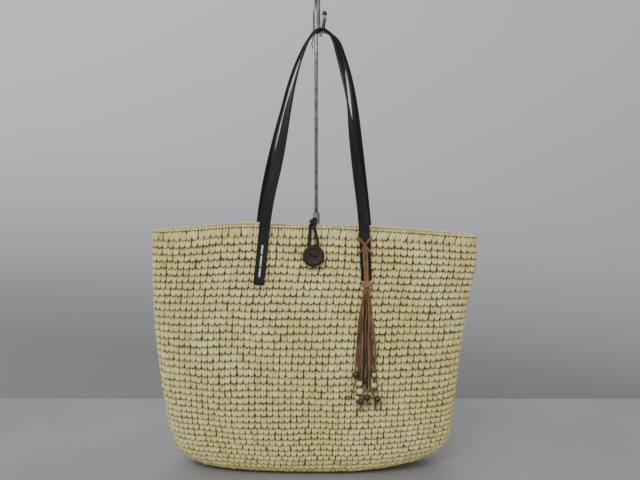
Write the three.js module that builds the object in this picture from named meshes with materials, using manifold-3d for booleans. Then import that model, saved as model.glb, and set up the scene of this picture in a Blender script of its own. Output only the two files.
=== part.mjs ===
// Crocheted straw basket bag, hung by its two leather straps on a small hook stand.
// Millimetres, +Z up, +X to the right of the bag's front, which faces -Y.
// Origin: the middle of the flat patch under the bag, on the surface that it stands on.

import * as THREE from 'three';
import { mergeVertices } from 'three/addons/utils/BufferGeometryUtils.js';
import Module from 'manifold-3d';

const wasm = await Module();
wasm.setup();

// Room left between pieces that touch on the real bag
const CLEARANCE = 0.3;

// Basket
const BAG_WIDTH = 460;
const BAG_DEPTH = 116;
const BAG_HEIGHT = 348;
const WALL = 5;
const LEFT_RIM_DROP = 6;
const RIGHT_RIM_DROP = 14;
const CORNER_LIFT = 7;
const FLAT_PATCH = 0.3;
const RIM_SWEEP = 1.7;
const RIM_PULL = 4.5;
const PULL_PLACE = -0.46;
const PULL_REACH = 0.26;
const CORNER_SWEEP = 1.5;
const CORNER_FADE = 3;
const PINCH_DEPTH = 0.45;
const PINCH_REACH = 60;
const PINCH_START = 0.7;
const GIRTH_FACETS = 52;
const GIRTH_SAMPLES = 720;

// Sections of the basket: level as a share of its height, half widths to the left and right as
// shares of half its width, half depth as a share of half its depth, and how square the outline is
const SECTIONS = [
  { level: 0.000, left: 0.640, right: 0.540, depth: 0.62, square: 2.2 },
  { level: 0.012, left: 0.745, right: 0.670, depth: 0.80, square: 2.3 },
  { level: 0.045, left: 0.835, right: 0.775, depth: 0.93, square: 2.4 },
  { level: 0.100, left: 0.890, right: 0.840, depth: 1.00, square: 2.5 },
  { level: 0.170, left: 0.925, right: 0.862, depth: 1.00, square: 2.5 },
  { level: 0.300, left: 0.955, right: 0.877, depth: 0.96, square: 2.5 },
  { level: 0.500, left: 0.992, right: 0.908, depth: 0.86, square: 2.4 },
  { level: 0.700, left: 1.008, right: 0.943, depth: 0.72, square: 2.4 },
  { level: 0.900, left: 1.010, right: 0.992, depth: 0.54, square: 2.6 },
  { level: 1.000, left: 1.000, right: 0.990, depth: 0.46, square: 3.0 },
];

// Heights up the wall, and spreads over the base outside and inside, where the mesh has a row
const WALL_LEVELS = [0.012, 0.045, 0.1, 0.17, 0.26, 0.37, 0.48, 0.59, 0.7, 0.79, 0.87, 0.94, 1];
const BASE_SPREADS = [0, FLAT_PATCH, 0.7, 1];
const FLOOR_SPREADS = [1, 0.6, 0];

// Chain edge along the rim
const EDGE_HEIGHT = 3.6;
const EDGE_INSET = 0.2;
const EDGE_SIDES = 6;

// Straps
const STRAP_WIDTH = 15;
const STRAP_THICKNESS = 2.5;
const STRAP_RISE = 266;
const STRAP_GAP = 1.6;
const APEX_OFFSET = 8;
const LEFT_SEWN_LENGTH = 79;
const RIGHT_SEWN_LENGTH = 73.5;
const SEWN_STOPS = [1, 0.75, 0.5, 0.25, 0.08];
const STRAP_STEPS = 2;
const STRAP_EASE = 0.08;

// Where each strap meets the rim and where its sewn ends stop, sideways from the middle
const STRAP_ENDS = {
  front: { leftRim: -70, leftEnd: -78, rightRim: 66.5, rightEnd: 69.6 },
  back: { leftRim: -78, leftEnd: -84, rightRim: 72, rightEnd: 76 },
};

// Run of each strap above the rim: rise as a share of its height, reach of the left and right
// legs as shares of their distance from the apex at the rim, and turn of the strap in degrees
const STRAP_RUNS = {
  front: [
    { rise: 0.00, left: 1.000, right: 1.000, leftTurn: 88, rightTurn: 70 },
    { rise: 0.15, left: 0.915, right: 0.920, leftTurn: 88, rightTurn: 65 },
    { rise: 0.30, left: 0.795, right: 0.820, leftTurn: 75, rightTurn: 52 },
    { rise: 0.45, left: 0.680, right: 0.725, leftTurn: 50, rightTurn: 35 },
    { rise: 0.60, left: 0.578, right: 0.630, leftTurn: 30, rightTurn: 8 },
    { rise: 0.75, left: 0.447, right: 0.520, leftTurn: 8, rightTurn: -12 },
    { rise: 0.87, left: 0.325, right: 0.415, leftTurn: 2, rightTurn: -28 },
    { rise: 0.95, left: 0.215, right: 0.285, leftTurn: 0, rightTurn: -14 },
    { rise: 0.987, left: 0.120, right: 0.140, leftTurn: 0, rightTurn: 0 },
    { rise: 1.00, left: 0.000, right: 0.000, leftTurn: 0, rightTurn: 0 },
  ],
  back: [
    { rise: 0.00, left: 1.000, right: 1.000, leftTurn: 80, rightTurn: 80 },
    { rise: 0.15, left: 0.940, right: 0.935, leftTurn: 55, rightTurn: 70 },
    { rise: 0.30, left: 0.865, right: 0.865, leftTurn: 30, rightTurn: 60 },
    { rise: 0.45, left: 0.768, right: 0.800, leftTurn: 12, rightTurn: 45 },
    { rise: 0.60, left: 0.640, right: 0.735, leftTurn: 8, rightTurn: 28 },
    { rise: 0.75, left: 0.505, right: 0.630, leftTurn: 6, rightTurn: 16 },
    { rise: 0.87, left: 0.357, right: 0.485, leftTurn: 4, rightTurn: 12 },
    { rise: 0.95, left: 0.222, right: 0.350, leftTurn: 2, rightTurn: 6 },
    { rise: 0.987, left: 0.120, right: 0.170, leftTurn: 0, rightTurn: 0 },
    { rise: 1.00, left: 0.000, right: 0.000, leftTurn: 0, rightTurn: 0 },
  ],
};

// Button and the loop that closes the bag over it
const BUTTON_OFFSET = -3;
const BUTTON_DROP = 42.5;
const BUTTON_DIAMETER = 30;
const BUTTON_THICKNESS = 5;
const BUTTON_DOME = 1.2;
const BUTTON_SEAT = 1.8;
const BUTTON_HOLE_SPACING = 6;
const THREAD_DIAMETER = 1.8;
const THREAD_SHANK_DIAMETER = 4;
const LOOP_DIAMETER = 4.2;
const LOOP_TAIL = 26;
const LOOP_LIFT = 0.7;

// Tassel
const LACE_WIDTH = 2;
const KNOT_DIAMETER = 9.2;
const KNOT_LENGTH = 16;
const KNOT_DROP = 2.5;
const BEAD_LIFT = 0.4;
const BEAD_PLAY = 0.7;
const LACE_STEP = 16;

// Beads: place sideways and below the knot, size across and along the lace
const BEADS = {
  bead_dark_1: { side: -15.2, drop: 107, across: 9.3, along: 8.6, dark: true },
  bead_dark_2: { side: -7.6, drop: 143.8, across: 8.2, along: 7.6, dark: true },
  bead_dark_3: { side: 0.3, drop: 138.4, across: 9.6, along: 8.8, dark: true },
  bead_dark_4: { side: 14.8, drop: 140.8, across: 9.3, along: 8.6, dark: true },
  bead_dark_5: { side: -2.1, drop: 113.5, across: 6.5, along: 12, dark: true },
  bead_cream_1: { side: -10, drop: 118.8, across: 8, along: 7.4, dark: false },
  bead_cream_2: { side: -9.5, drop: 129.2, across: 9.6, along: 8.8, dark: false },
  bead_cream_3: { side: -13.2, drop: 138.4, across: 6, along: 5.4, dark: false },
  bead_cream_4: { side: 9.8, drop: 121.6, across: 8, along: 7.4, dark: false },
  bead_cream_5: { side: 10.1, drop: 107.7, across: 5.5, along: 5, dark: false },
};

// Laces of the tassel: where each leaves the knot, then the points or beads that it passes
const LACES = [
  { root: -3.0, route: [{ side: -8.5, drop: 30 }, { side: -13.4, drop: 75 }, 'bead_dark_1',
    { side: -18, drop: 124, lift: 4 }, { side: -22.5, drop: 138, lift: 2 },
    { side: -30, drop: 137, lift: 1.5 }] },
  { root: -2.2, route: [{ side: -6.5, drop: 30 }, { side: -8.8, drop: 100 }, 'bead_cream_1',
    'bead_cream_2', 'bead_cream_3', { side: -14.6, drop: 147, lift: 1.5 }] },
  { root: -1.6, route: [{ side: -4.6, drop: 35 }, { side: -6.6, drop: 126 }, 'bead_dark_2',
    { side: -10, drop: 157, lift: 1.5 }] },
  { root: 0.2, route: [{ side: -1.2, drop: 40 }, { side: -2.1, drop: 92 }, 'bead_dark_5',
    'bead_dark_3', { side: 0.6, drop: 150, lift: 3 }] },
  { root: 2.4, route: [{ side: 5.4, drop: 35 }, { side: 9.2, drop: 90 }, 'bead_cream_5',
    'bead_cream_4', { side: 9.2, drop: 131, lift: 3 }] },
  { root: 3.0, route: [{ side: 6.8, drop: 30 }, { side: 12.4, drop: 85 },
    { side: 14.2, drop: 122 }, 'bead_dark_4', { side: 15, drop: 151, lift: 3 }] },
  { root: 1.8, route: [{ side: 2.6, drop: 60 }, { side: 5.2, drop: 125 },
    { side: 13.2, drop: 158 }] },
  { root: -3.4, route: [{ side: -10, drop: 36 }, { side: -11.4, drop: 98 }] },
  { root: -1.2, route: [{ side: -3.2, drop: 40 }, { side: -5, drop: 122 }] },
  { root: -0.6, route: [{ side: -2.2, drop: 40 }, { side: -3.4, drop: 108 }] },
  { root: 0.6, route: [{ side: 0.8, drop: 40 }, { side: 1.6, drop: 129 }] },
  { root: 1.4, route: [{ side: 3.4, drop: 40 }, { side: 4.4, drop: 118 }] },
  { root: 2.0, route: [{ side: 4.6, drop: 36 }, { side: 7.2, drop: 112 }] },
];

// Hook stand
const POLE_GAP = 12;
const POLE_OFFSET = 0.3;
const ROD_DIAMETER = 5.5;
const HOOK_DIAMETER = 5;
const TUBE_DIAMETER = 10.4;
const TUBE_HEIGHT = 359;
const TUBE_BORE_DEPTH = 60;
const FOOT_WIDTH = 160;
const FOOT_DEPTH = 96;
const FOOT_THICKNESS = 5;
const TIP_DIAMETER = 6.4;
const CATCH_DIAMETER = 1.8;
const CATCH_LENGTH = 54;

const rimHeight = BAG_HEIGHT - EDGE_HEIGHT - CLEARANCE;
const strapLift = CLEARANCE + STRAP_THICKNESS / 2;
const laceRadius = LACE_WIDTH * Math.SQRT1_2;
const laceLift = 2 * CLEARANCE + laceRadius;
const loopRadius = LOOP_DIAMETER / 2;
const buttonLevel = BAG_HEIGHT - BUTTON_DROP;
const apexHeight = BAG_HEIGHT + STRAP_RISE;
const hookHeight = apexHeight - STRAP_THICKNESS / 2 - CLEARANCE - HOOK_DIAMETER / 2;
const poleBack = BAG_DEPTH / 2 + POLE_GAP + TUBE_DIAMETER / 2;

// Smooth curve through one column of a table, which doesn't overshoot between its rows.
function curveThrough(rows, key, column) {
  const at = rows.map((row) => row[key]);
  const value = rows.map((row) => row[column]);
  const slopes = rows.slice(1).map((_, i) => (value[i + 1] - value[i]) / (at[i + 1] - at[i]));
  const tangents = rows.map((_, i) => {
    const before = slopes[Math.max(i - 1, 0)];
    const after = slopes[Math.min(i, slopes.length - 1)];
    return before * after > 0 ? (2 * before * after) / (before + after) : 0;
  });
  return (place) => {
    const inside = THREE.MathUtils.clamp(place, at[0], at[at.length - 1]);
    const i = Math.max(at.findLastIndex((edge, k) => edge <= inside && k < slopes.length), 0);
    const step = at[i + 1] - at[i];
    const t = (inside - at[i]) / step;
    const rise = value[i + 1] - value[i];
    const leaving = tangents[i] * step - rise;
    const arriving = tangents[i + 1] * step - rise;
    return value[i] + t * rise + t * (1 - t) * ((1 - t) * leaving - t * arriving);
  };
}

const leftShare = curveThrough(SECTIONS, 'level', 'left');
const rightShare = curveThrough(SECTIONS, 'level', 'right');
const depthShare = curveThrough(SECTIONS, 'level', 'depth');
const squareness = curveThrough(SECTIONS, 'level', 'square');

function halfWidth(level, side) {
  const share = side < 0 ? leftShare(level) : rightShare(level);
  return (share * BAG_WIDTH) / 2;
}

// The loop draws front and back together round the middle of the mouth.
function pinch(x, level) {
  const height = THREE.MathUtils.smoothstep(level, PINCH_START, 1);
  return 1 - PINCH_DEPTH * height * Math.exp(-((x / PINCH_REACH) ** 2));
}

// The rim falls towards its ends, and the left leg of the straps pulls it up.
function rimDrop(reach) {
  const drop = reach < 0 ? LEFT_RIM_DROP : RIGHT_RIM_DROP;
  const pull = RIM_PULL * Math.exp(-(((reach - PULL_PLACE) / PULL_REACH) ** 2));
  return drop * Math.abs(reach) ** RIM_SWEEP - pull;
}

function cornerLift(reach, level) {
  const beyond = Math.max(0, (reach - FLAT_PATCH) / (1 - FLAT_PATCH));
  return CORNER_LIFT * beyond ** CORNER_SWEEP * (1 - level) ** CORNER_FADE;
}

// A point of the basket: level up the wall, angle round it, spread over the base, inset inwards.
function basketPoint(level, angle, spread = 1, inset = 0) {
  const power = 2 / squareness(level);
  const across = spread * Math.sign(Math.cos(angle)) * Math.abs(Math.cos(angle)) ** power;
  const along = spread * Math.sign(Math.sin(angle)) * Math.abs(Math.sin(angle)) ** power;
  const x = across * (halfWidth(level, across) - inset);
  const halfDepth = (depthShare(level) * BAG_DEPTH) / 2;
  const y = along * (halfDepth * pinch(x, level) - inset);
  const z = level * rimHeight - rimDrop(across) * level ** 2 + cornerLift(across, level);
  return new THREE.Vector3(x, y, z);
}

// Angles that share the girth of one level out evenly.
function evenAngles(level) {
  const lengths = [0];
  let last = basketPoint(level, 0);
  for (let i = 1; i <= GIRTH_SAMPLES; i += 1) {
    const next = basketPoint(level, (i / GIRTH_SAMPLES) * 2 * Math.PI);
    lengths.push(lengths[i - 1] + next.distanceTo(last));
    last = next;
  }
  const angles = [];
  for (let k = 0; k < GIRTH_FACETS; k += 1) {
    const wanted = (k / GIRTH_FACETS) * lengths[GIRTH_SAMPLES];
    const i = Math.max(lengths.findLastIndex((length) => length <= wanted), 0);
    const part = (wanted - lengths[i]) / (lengths[i + 1] - lengths[i]);
    angles.push(((i + part) / GIRTH_SAMPLES) * 2 * Math.PI);
  }
  return angles;
}

// How far the outside of the basket stands from its middle plane, at a place on the panel.
function panelDepth(x, z) {
  let level = z / rimHeight;
  for (let i = 0; i < 6; i += 1) {
    const held = THREE.MathUtils.clamp(level, 0, 1);
    level = (z + rimDrop(x / halfWidth(held, x)) * held ** 2) / rimHeight;
  }
  level = THREE.MathUtils.clamp(level, 0, 1);
  const square = squareness(level);
  const across = Math.min(Math.abs(x) / halfWidth(level, x), 1);
  const outline = (1 - across ** square) ** (1 / square);
  return ((depthShare(level) * BAG_DEPTH) / 2) * outline * pinch(x, level);
}

// Outward direction of the front panel.
function panelNormal(x, z) {
  const reach = 3;
  const acrossSlope = (panelDepth(x + reach, z) - panelDepth(x - reach, z)) / (2 * reach);
  const upSlope = (panelDepth(x, z + reach) - panelDepth(x, z - reach)) / (2 * reach);
  return new THREE.Vector3(-acrossSlope, -1, -upSlope).normalize();
}

// A point in front of the front panel, lifted off it.
function onPanel(x, z, lift) {
  return new THREE.Vector3(x, -(panelDepth(x, z) + lift), z);
}

// A closed skin through rows of points: LatheGeometry gives the mesh, place gives each point.
function skin(rowCount, facets, place) {
  const profile = Array.from({ length: rowCount }, () => new THREE.Vector2(1, 0));
  const geometry = new THREE.LatheGeometry(profile, facets);
  const position = geometry.attributes.position;
  for (let k = 0; k < position.count; k += 1) {
    const facet = Math.floor(k / rowCount) % facets;
    const point = place(k % rowCount, facet);
    position.setXYZ(k, point.x, point.y, point.z);
  }
  return outwards(geometry);
}

// Merged copy of a mesh whose faces point outwards.
function outwards(geometry) {
  const plain = geometry.clone();
  plain.deleteAttribute('normal');
  plain.deleteAttribute('uv');
  const merged = mergeVertices(plain, 1e-4);
  const index = Array.from(merged.index.array);
  const point = (i) => new THREE.Vector3().fromBufferAttribute(merged.attributes.position, i);
  const faces = [];
  let volume = 0;
  for (let i = 0; i < index.length; i += 3) {
    const [a, b, c] = index.slice(i, i + 3);
    if (a !== b && b !== c && c !== a) {
      faces.push([a, b, c]);
      volume += point(a).dot(point(b).cross(point(c)));
    }
  }
  merged.setIndex(faces.flatMap(([a, b, c]) => (volume > 0 ? [a, b, c] : [a, c, b])));
  return merged;
}

function toSolid(geometry) {
  const closed = outwards(geometry);
  const vertProperties = new Float32Array(closed.attributes.position.array);
  const triVerts = new Uint32Array(closed.index.array);
  return new wasm.Manifold(new wasm.Mesh({ numProp: 3, vertProperties, triVerts }));
}

function toGeometry(solid) {
  const mesh = solid.getMesh();
  const geometry = new THREE.BufferGeometry();
  geometry.setAttribute('position', new THREE.BufferAttribute(mesh.vertProperties, 3));
  geometry.setIndex(new THREE.BufferAttribute(mesh.triVerts, 1));
  return geometry;
}

function fused(geometries) {
  const solids = geometries.map(toSolid);
  return toGeometry(solids.reduce((whole, solid) => whole.add(solid)));
}

function roundSection(radius, sides) {
  const corners = Array.from({ length: sides }, (_, i) => {
    const angle = ((i + 0.5) / sides) * 2 * Math.PI;
    return new THREE.Vector2(radius * Math.cos(angle), radius * Math.sin(angle));
  });
  return new THREE.Shape(corners);
}

function tube(points, diameter, sides, step) {
  const extrudePath = new THREE.CatmullRomCurve3(points, false, 'centripetal');
  const steps = Math.ceil(extrudePath.getLength() / step);
  return new THREE.ExtrudeGeometry(roundSection(diameter / 2, sides), { steps, extrudePath });
}

function lathe(outline, facets) {
  return new THREE.LatheGeometry(outline.map(([r, h]) => new THREE.Vector2(r, h)), facets);
}

const group = new THREE.Group();

function add(name, geometry, colour, roughness, metalness = 0) {
  const material = new THREE.MeshStandardMaterial({ color: colour, roughness, metalness });
  const mesh = new THREE.Mesh(geometry, material);
  mesh.name = name;
  group.add(mesh);
  return mesh;
}

// Basket body: one crocheted wall with its base, open at the mouth.
function basketBody() {
  const floorLevel = WALL / rimHeight;
  const inner = WALL_LEVELS.filter((level) => level > floorLevel).reverse();
  const rows = [
    ...BASE_SPREADS.map((spread) => ({ level: 0, spread, inset: 0 })),
    ...WALL_LEVELS.map((level) => ({ level, spread: 1, inset: 0 })),
    ...inner.map((level) => ({ level, spread: 1, inset: WALL })),
    ...FLOOR_SPREADS.map((spread) => ({ level: floorLevel, spread, inset: WALL })),
  ];
  const angles = rows.map((row) => evenAngles(row.level));
  return skin(rows.length, GIRTH_FACETS, (i, facet) => (
    basketPoint(rows[i].level, angles[i][facet], rows[i].spread, rows[i].inset)
  ));
}

// Rim edging: the chain of the last round, lying on the wall's top.
function rimEdging() {
  const angles = evenAngles(1);
  const halfAcross = WALL / 2 - EDGE_INSET;
  const sections = angles.map((angle) => {
    const outer = basketPoint(1, angle);
    const inner = basketPoint(1, angle, 1, WALL);
    const middle = outer.clone().add(inner).multiplyScalar(0.5);
    const outward = outer.clone().sub(inner).setZ(0).normalize();
    return { middle, outward };
  });
  return skin(EDGE_SIDES + 1, GIRTH_FACETS, (i, facet) => {
    const { middle, outward } = sections[facet];
    const turn = ((i % EDGE_SIDES) / EDGE_SIDES) * 2 * Math.PI;
    const point = middle.clone().addScaledVector(outward, halfAcross * Math.cos(turn));
    point.z += CLEARANCE + (EDGE_HEIGHT / 2) * (1 + Math.sin(turn));
    return point;
  });
}

// Middle line of one leg of a strap's sewn end, as a place across the panel for a height.
function sewnLine(rim, end, length, z) {
  return rim + ((end - rim) * (BAG_HEIGHT - z)) / length;
}

// Strap: sewn flat to its panel at both ends, turned on edge where it lies over the hook.
function strap(which) {
  const ends = STRAP_ENDS[which];
  const run = STRAP_RUNS[which];
  const apexDepth = (STRAP_WIDTH + STRAP_GAP) / 2;
  const legs = ['left', 'right'].map((leg) => {
    const rim = ends[`${leg}Rim`];
    const end = ends[`${leg}End`];
    const length = leg === 'left' ? LEFT_SEWN_LENGTH : RIGHT_SEWN_LENGTH;
    const sewn = SEWN_STOPS.map((share) => {
      const z = BAG_HEIGHT - share * length;
      return onPanel(sewnLine(rim, end, length, z), z, strapLift);
    });
    const rimDepth = panelDepth(rim, rimHeight) + strapLift;
    const free = run.slice(0, -1).map((row) => new THREE.Vector3(
      APEX_OFFSET + (rim - APEX_OFFSET) * row[leg],
      -THREE.MathUtils.lerp(rimDepth, apexDepth, row.rise),
      BAG_HEIGHT + row.rise * STRAP_RISE,
    ));
    return [...sewn, ...free];
  });
  const apex = new THREE.Vector3(APEX_OFFSET, -apexDepth, apexHeight);
  const middles = [...legs[0], apex, ...legs[1].reverse()];
  const curve = new THREE.CatmullRomCurve3(middles, false, 'centripetal');
  const turns = {
    left: curveThrough(run, 'rise', 'leftTurn'),
    right: curveThrough(run, 'rise', 'rightTurn'),
  };
  const count = (middles.length - 1) * STRAP_STEPS;
  const stations = Array.from({ length: count + 1 }, (_, i) => {
    const middle = curve.getPoint(i / count);
    const tangent = curve.getTangent(i / count);
    const rise = (middle.z - BAG_HEIGHT) / STRAP_RISE;
    const leg = i < count / 2 ? 'left' : 'right';
    const turn = THREE.MathUtils.degToRad(turns[leg](rise));
    const depthwise = new THREE.Vector3(0, 1, 0).addScaledVector(tangent, -tangent.y).normalize();
    const sideways = new THREE.Vector3().crossVectors(tangent, depthwise);
    const width = depthwise.multiplyScalar(Math.cos(turn)).addScaledVector(sideways, Math.sin(turn));
    const sewn = new THREE.Vector3().crossVectors(panelNormal(middle.x, middle.z), tangent);
    width.lerp(sewn, 1 - THREE.MathUtils.smoothstep(rise, 0, STRAP_EASE)).normalize();
    const thickness = new THREE.Vector3().crossVectors(tangent, width);
    return { middle, width, thickness };
  });
  const outline = [[-1, -1], [1, -1], [1, 1], [-1, 1]].map(([across, through]) => [
    (across * STRAP_WIDTH) / 2,
    (through * STRAP_THICKNESS) / 2,
  ]);
  const mirror = which === 'front' ? 1 : -1;
  return skin(stations.length + 2, outline.length, (i, facet) => {
    const station = stations[THREE.MathUtils.clamp(i - 1, 0, stations.length - 1)];
    const atEnd = i === 0 || i === stations.length + 1;
    const [across, through] = atEnd ? [0, 0] : outline[facet];
    const point = station.middle.clone().addScaledVector(station.width, across);
    point.addScaledVector(station.thickness, through);
    point.y *= mirror;
    return point;
  });
}

// Button: a turned disc with two holes, tilted with the panel that it is sewn to.
const buttonLift = CLEARANCE + LOOP_DIAMETER + BUTTON_SEAT;

function panelSlope(x, z) {
  const reach = 5;
  return Math.atan2(panelDepth(x, z - reach) - panelDepth(x, z + reach), 2 * reach);
}

function placeAtButton(mesh) {
  mesh.position.copy(onPanel(BUTTON_OFFSET, buttonLevel, 0));
  mesh.rotation.x = -panelSlope(BUTTON_OFFSET, buttonLevel);
}

function button() {
  const radius = BUTTON_DIAMETER / 2;
  const back = -buttonLift;
  const front = back - BUTTON_THICKNESS;
  const edge = BUTTON_THICKNESS / 4;
  const disc = lathe([
    [0, back],
    [radius - edge, back],
    [radius, back - edge],
    [radius, front + edge],
    [radius - edge, front],
    [radius * 0.7, front + BUTTON_DOME * 0.4],
    [radius * 0.6, front + BUTTON_DOME],
    [0, front + BUTTON_DOME],
  ], 24);
  const drill = new THREE.CylinderGeometry(1, 1, 4 * BUTTON_THICKNESS, 10);
  const holes = [-1, 1].map((side) => {
    const hole = drill.clone();
    const bore = THREAD_DIAMETER / 2 + CLEARANCE;
    hole.scale(bore, 1, bore);
    hole.translate((side * BUTTON_HOLE_SPACING) / 2, front, 0);
    return toSolid(hole);
  });
  return toGeometry(holes.reduce((solid, hole) => solid.subtract(hole), toSolid(disc)));
}

// Thread: a wound shank behind the button, two legs through its holes and the bar over them.
function buttonThread() {
  const half = BUTTON_HOLE_SPACING / 2;
  const face = -(buttonLift + BUTTON_THICKNESS - BUTTON_DOME + CLEARANCE + THREAD_DIAMETER / 2);
  const shankTop = -(buttonLift - CLEARANCE);
  const bridge = 2 * half + THREAD_DIAMETER;
  const seat = 3 * CLEARANCE;
  const shankLength = buttonLift - CLEARANCE - seat;
  const shank = new THREE.CylinderGeometry(
    THREAD_SHANK_DIAMETER / 2, THREAD_SHANK_DIAMETER / 2, shankLength, 12);
  shank.translate(0, -(seat + shankLength / 2), 0);
  const yoke = new THREE.BoxGeometry(bridge, THREAD_DIAMETER / 2, THREAD_DIAMETER);
  yoke.translate(0, shankTop + THREAD_DIAMETER / 4, 0);
  const bar = new THREE.BoxGeometry(bridge, THREAD_DIAMETER, THREAD_DIAMETER);
  bar.translate(0, face, 0);
  const legs = [-half, half].map((x) => {
    const length = shankTop - face;
    const leg = new THREE.CylinderGeometry(THREAD_DIAMETER / 2, THREAD_DIAMETER / 2, length, 8);
    leg.translate(x, face + length / 2, 0);
    return leg;
  });
  return fused([shank, yoke, bar, ...legs]);
}

// Closure loop: a round cord from inside the back panel, over the mouth, round the button's shank.
function closureLoop() {
  const lift = LOOP_LIFT + loopRadius;
  const x = BUTTON_OFFSET;
  const top = BAG_HEIGHT + CLEARANCE + loopRadius;
  const round = THREAD_SHANK_DIAMETER / 2 + CLEARANCE + loopRadius;
  const mouth = panelDepth(x, rimHeight);
  const knotRadius = 1.5 * loopRadius;
  const over = (side) => new THREE.Vector3(x + side, -(mouth - WALL / 2), top + 0.4 * knotRadius);
  const front = [
    over(-0.5),
    onPanel(x - 2, BAG_HEIGHT + 1, lift),
    onPanel(x - 3, BAG_HEIGHT - 5, lift),
    onPanel(x - 4.6, BAG_HEIGHT - 12, lift),
    onPanel(x - round, buttonLevel + 12, lift),
    onPanel(x - round, buttonLevel, lift),
    onPanel(x - 0.7 * round, buttonLevel - 0.7 * round, lift),
    onPanel(x, buttonLevel - round, lift),
    onPanel(x + 0.7 * round, buttonLevel - 0.7 * round, lift),
    onPanel(x + round, buttonLevel, lift),
    onPanel(x + round + 0.6, buttonLevel + 12, lift),
    onPanel(x + 3.2, BAG_HEIGHT - 16, lift),
    onPanel(x + 1.4, BAG_HEIGHT - 5, lift),
    onPanel(x + 1, BAG_HEIGHT + 1, lift),
    over(0.5),
  ];
  const inside = mouth - WALL - CLEARANCE - loopRadius;
  const tails = [-1, 1].map((side) => {
    const across = x + side * (loopRadius + CLEARANCE);
    return tube([
      over(side),
      new THREE.Vector3(across, 0, top),
      new THREE.Vector3(across, inside - 2, top - 3),
      new THREE.Vector3(across, inside, rimHeight - 6),
      new THREE.Vector3(across, inside, rimHeight - LOOP_TAIL),
    ], LOOP_DIAMETER, 8, 8);
  });
  const knot = new THREE.TorusGeometry(knotRadius, 1.1 * loopRadius, 6, 10);
  knot.rotateX(0.35 * Math.PI);
  const heart = over(0).setZ(top + knotRadius + 0.6);
  knot.translate(heart.x, heart.y, heart.z);
  const lump = new THREE.SphereGeometry(1.7 * loopRadius, 8, 6);
  lump.translate(heart.x, heart.y, heart.z);
  return fused([tube(front, LOOP_DIAMETER, 8, 7), ...tails, knot, lump]);
}

// Tassel: laces hitched round the right end of the front strap, knotted and left hanging.
const tasselEnds = STRAP_ENDS.front;
const tasselOffset = tasselEnds.rightEnd;
const knotTop = BAG_HEIGHT - RIGHT_SEWN_LENGTH - KNOT_DROP;
const knotBottom = knotTop - KNOT_LENGTH;
const knotLift = CLEARANCE + KNOT_DIAMETER / 2 + panelDepth(tasselOffset, knotBottom)
  - panelDepth(tasselOffset, knotBottom + KNOT_LENGTH / 2);
const overStrap = strapLift + STRAP_THICKNESS / 2 + laceLift;

function hangingPoint({ side, drop, lift = 0 }) {
  return onPanel(tasselOffset + side, knotBottom - drop, laceLift + lift);
}

function beadPoint(bead) {
  const lift = laceLift + laceRadius + BEAD_LIFT + bead.across / 2;
  return onPanel(tasselOffset + bead.side, knotBottom - bead.drop, lift);
}

// Points of a lace down the panel, every few millimetres between the stops of its route.
function lacePoints({ root, route }) {
  const points = [
    onPanel(tasselOffset + root, knotBottom + KNOT_LENGTH / 2, knotLift),
    onPanel(tasselOffset + 1.2 * root, knotBottom - 3, knotLift - 0.6),
  ];
  let last = { side: 1.6 * root, drop: 10, lift: 1.5 };
  points.push(hangingPoint(last));
  route.forEach((stop) => {
    const held = BEADS[stop];
    const next = held ? { side: held.side, drop: held.drop - held.along / 2 - 7, lift: 0 } : stop;
    const parts = Math.max(Math.round((next.drop - last.drop) / LACE_STEP), 1);
    for (let i = 1; i <= parts && !(held && last.held); i += 1) {
      const side = THREE.MathUtils.lerp(last.side, next.side, i / parts);
      const drop = THREE.MathUtils.lerp(last.drop, next.drop, i / parts);
      const lift = THREE.MathUtils.lerp(last.lift ?? 0, next.lift ?? 0, i / parts);
      points.push(hangingPoint({ side, drop, lift }));
    }
    last = next;
    if (held) {
      const middle = beadPoint(held);
      const reach = held.along / 2 + 2.2;
      points.push(...[reach, 0, -reach].map((up) => middle.clone().setZ(middle.z + up)));
      last = { side: held.side, drop: held.drop + reach, lift: held.across / 2, held };
    }
  });
  return points;
}

function hitchPoint(side, z, lift) {
  const x = sewnLine(tasselEnds.rightRim, tasselEnds.rightEnd, RIGHT_SEWN_LENGTH, z) + side;
  return onPanel(x, z, lift);
}

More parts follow.
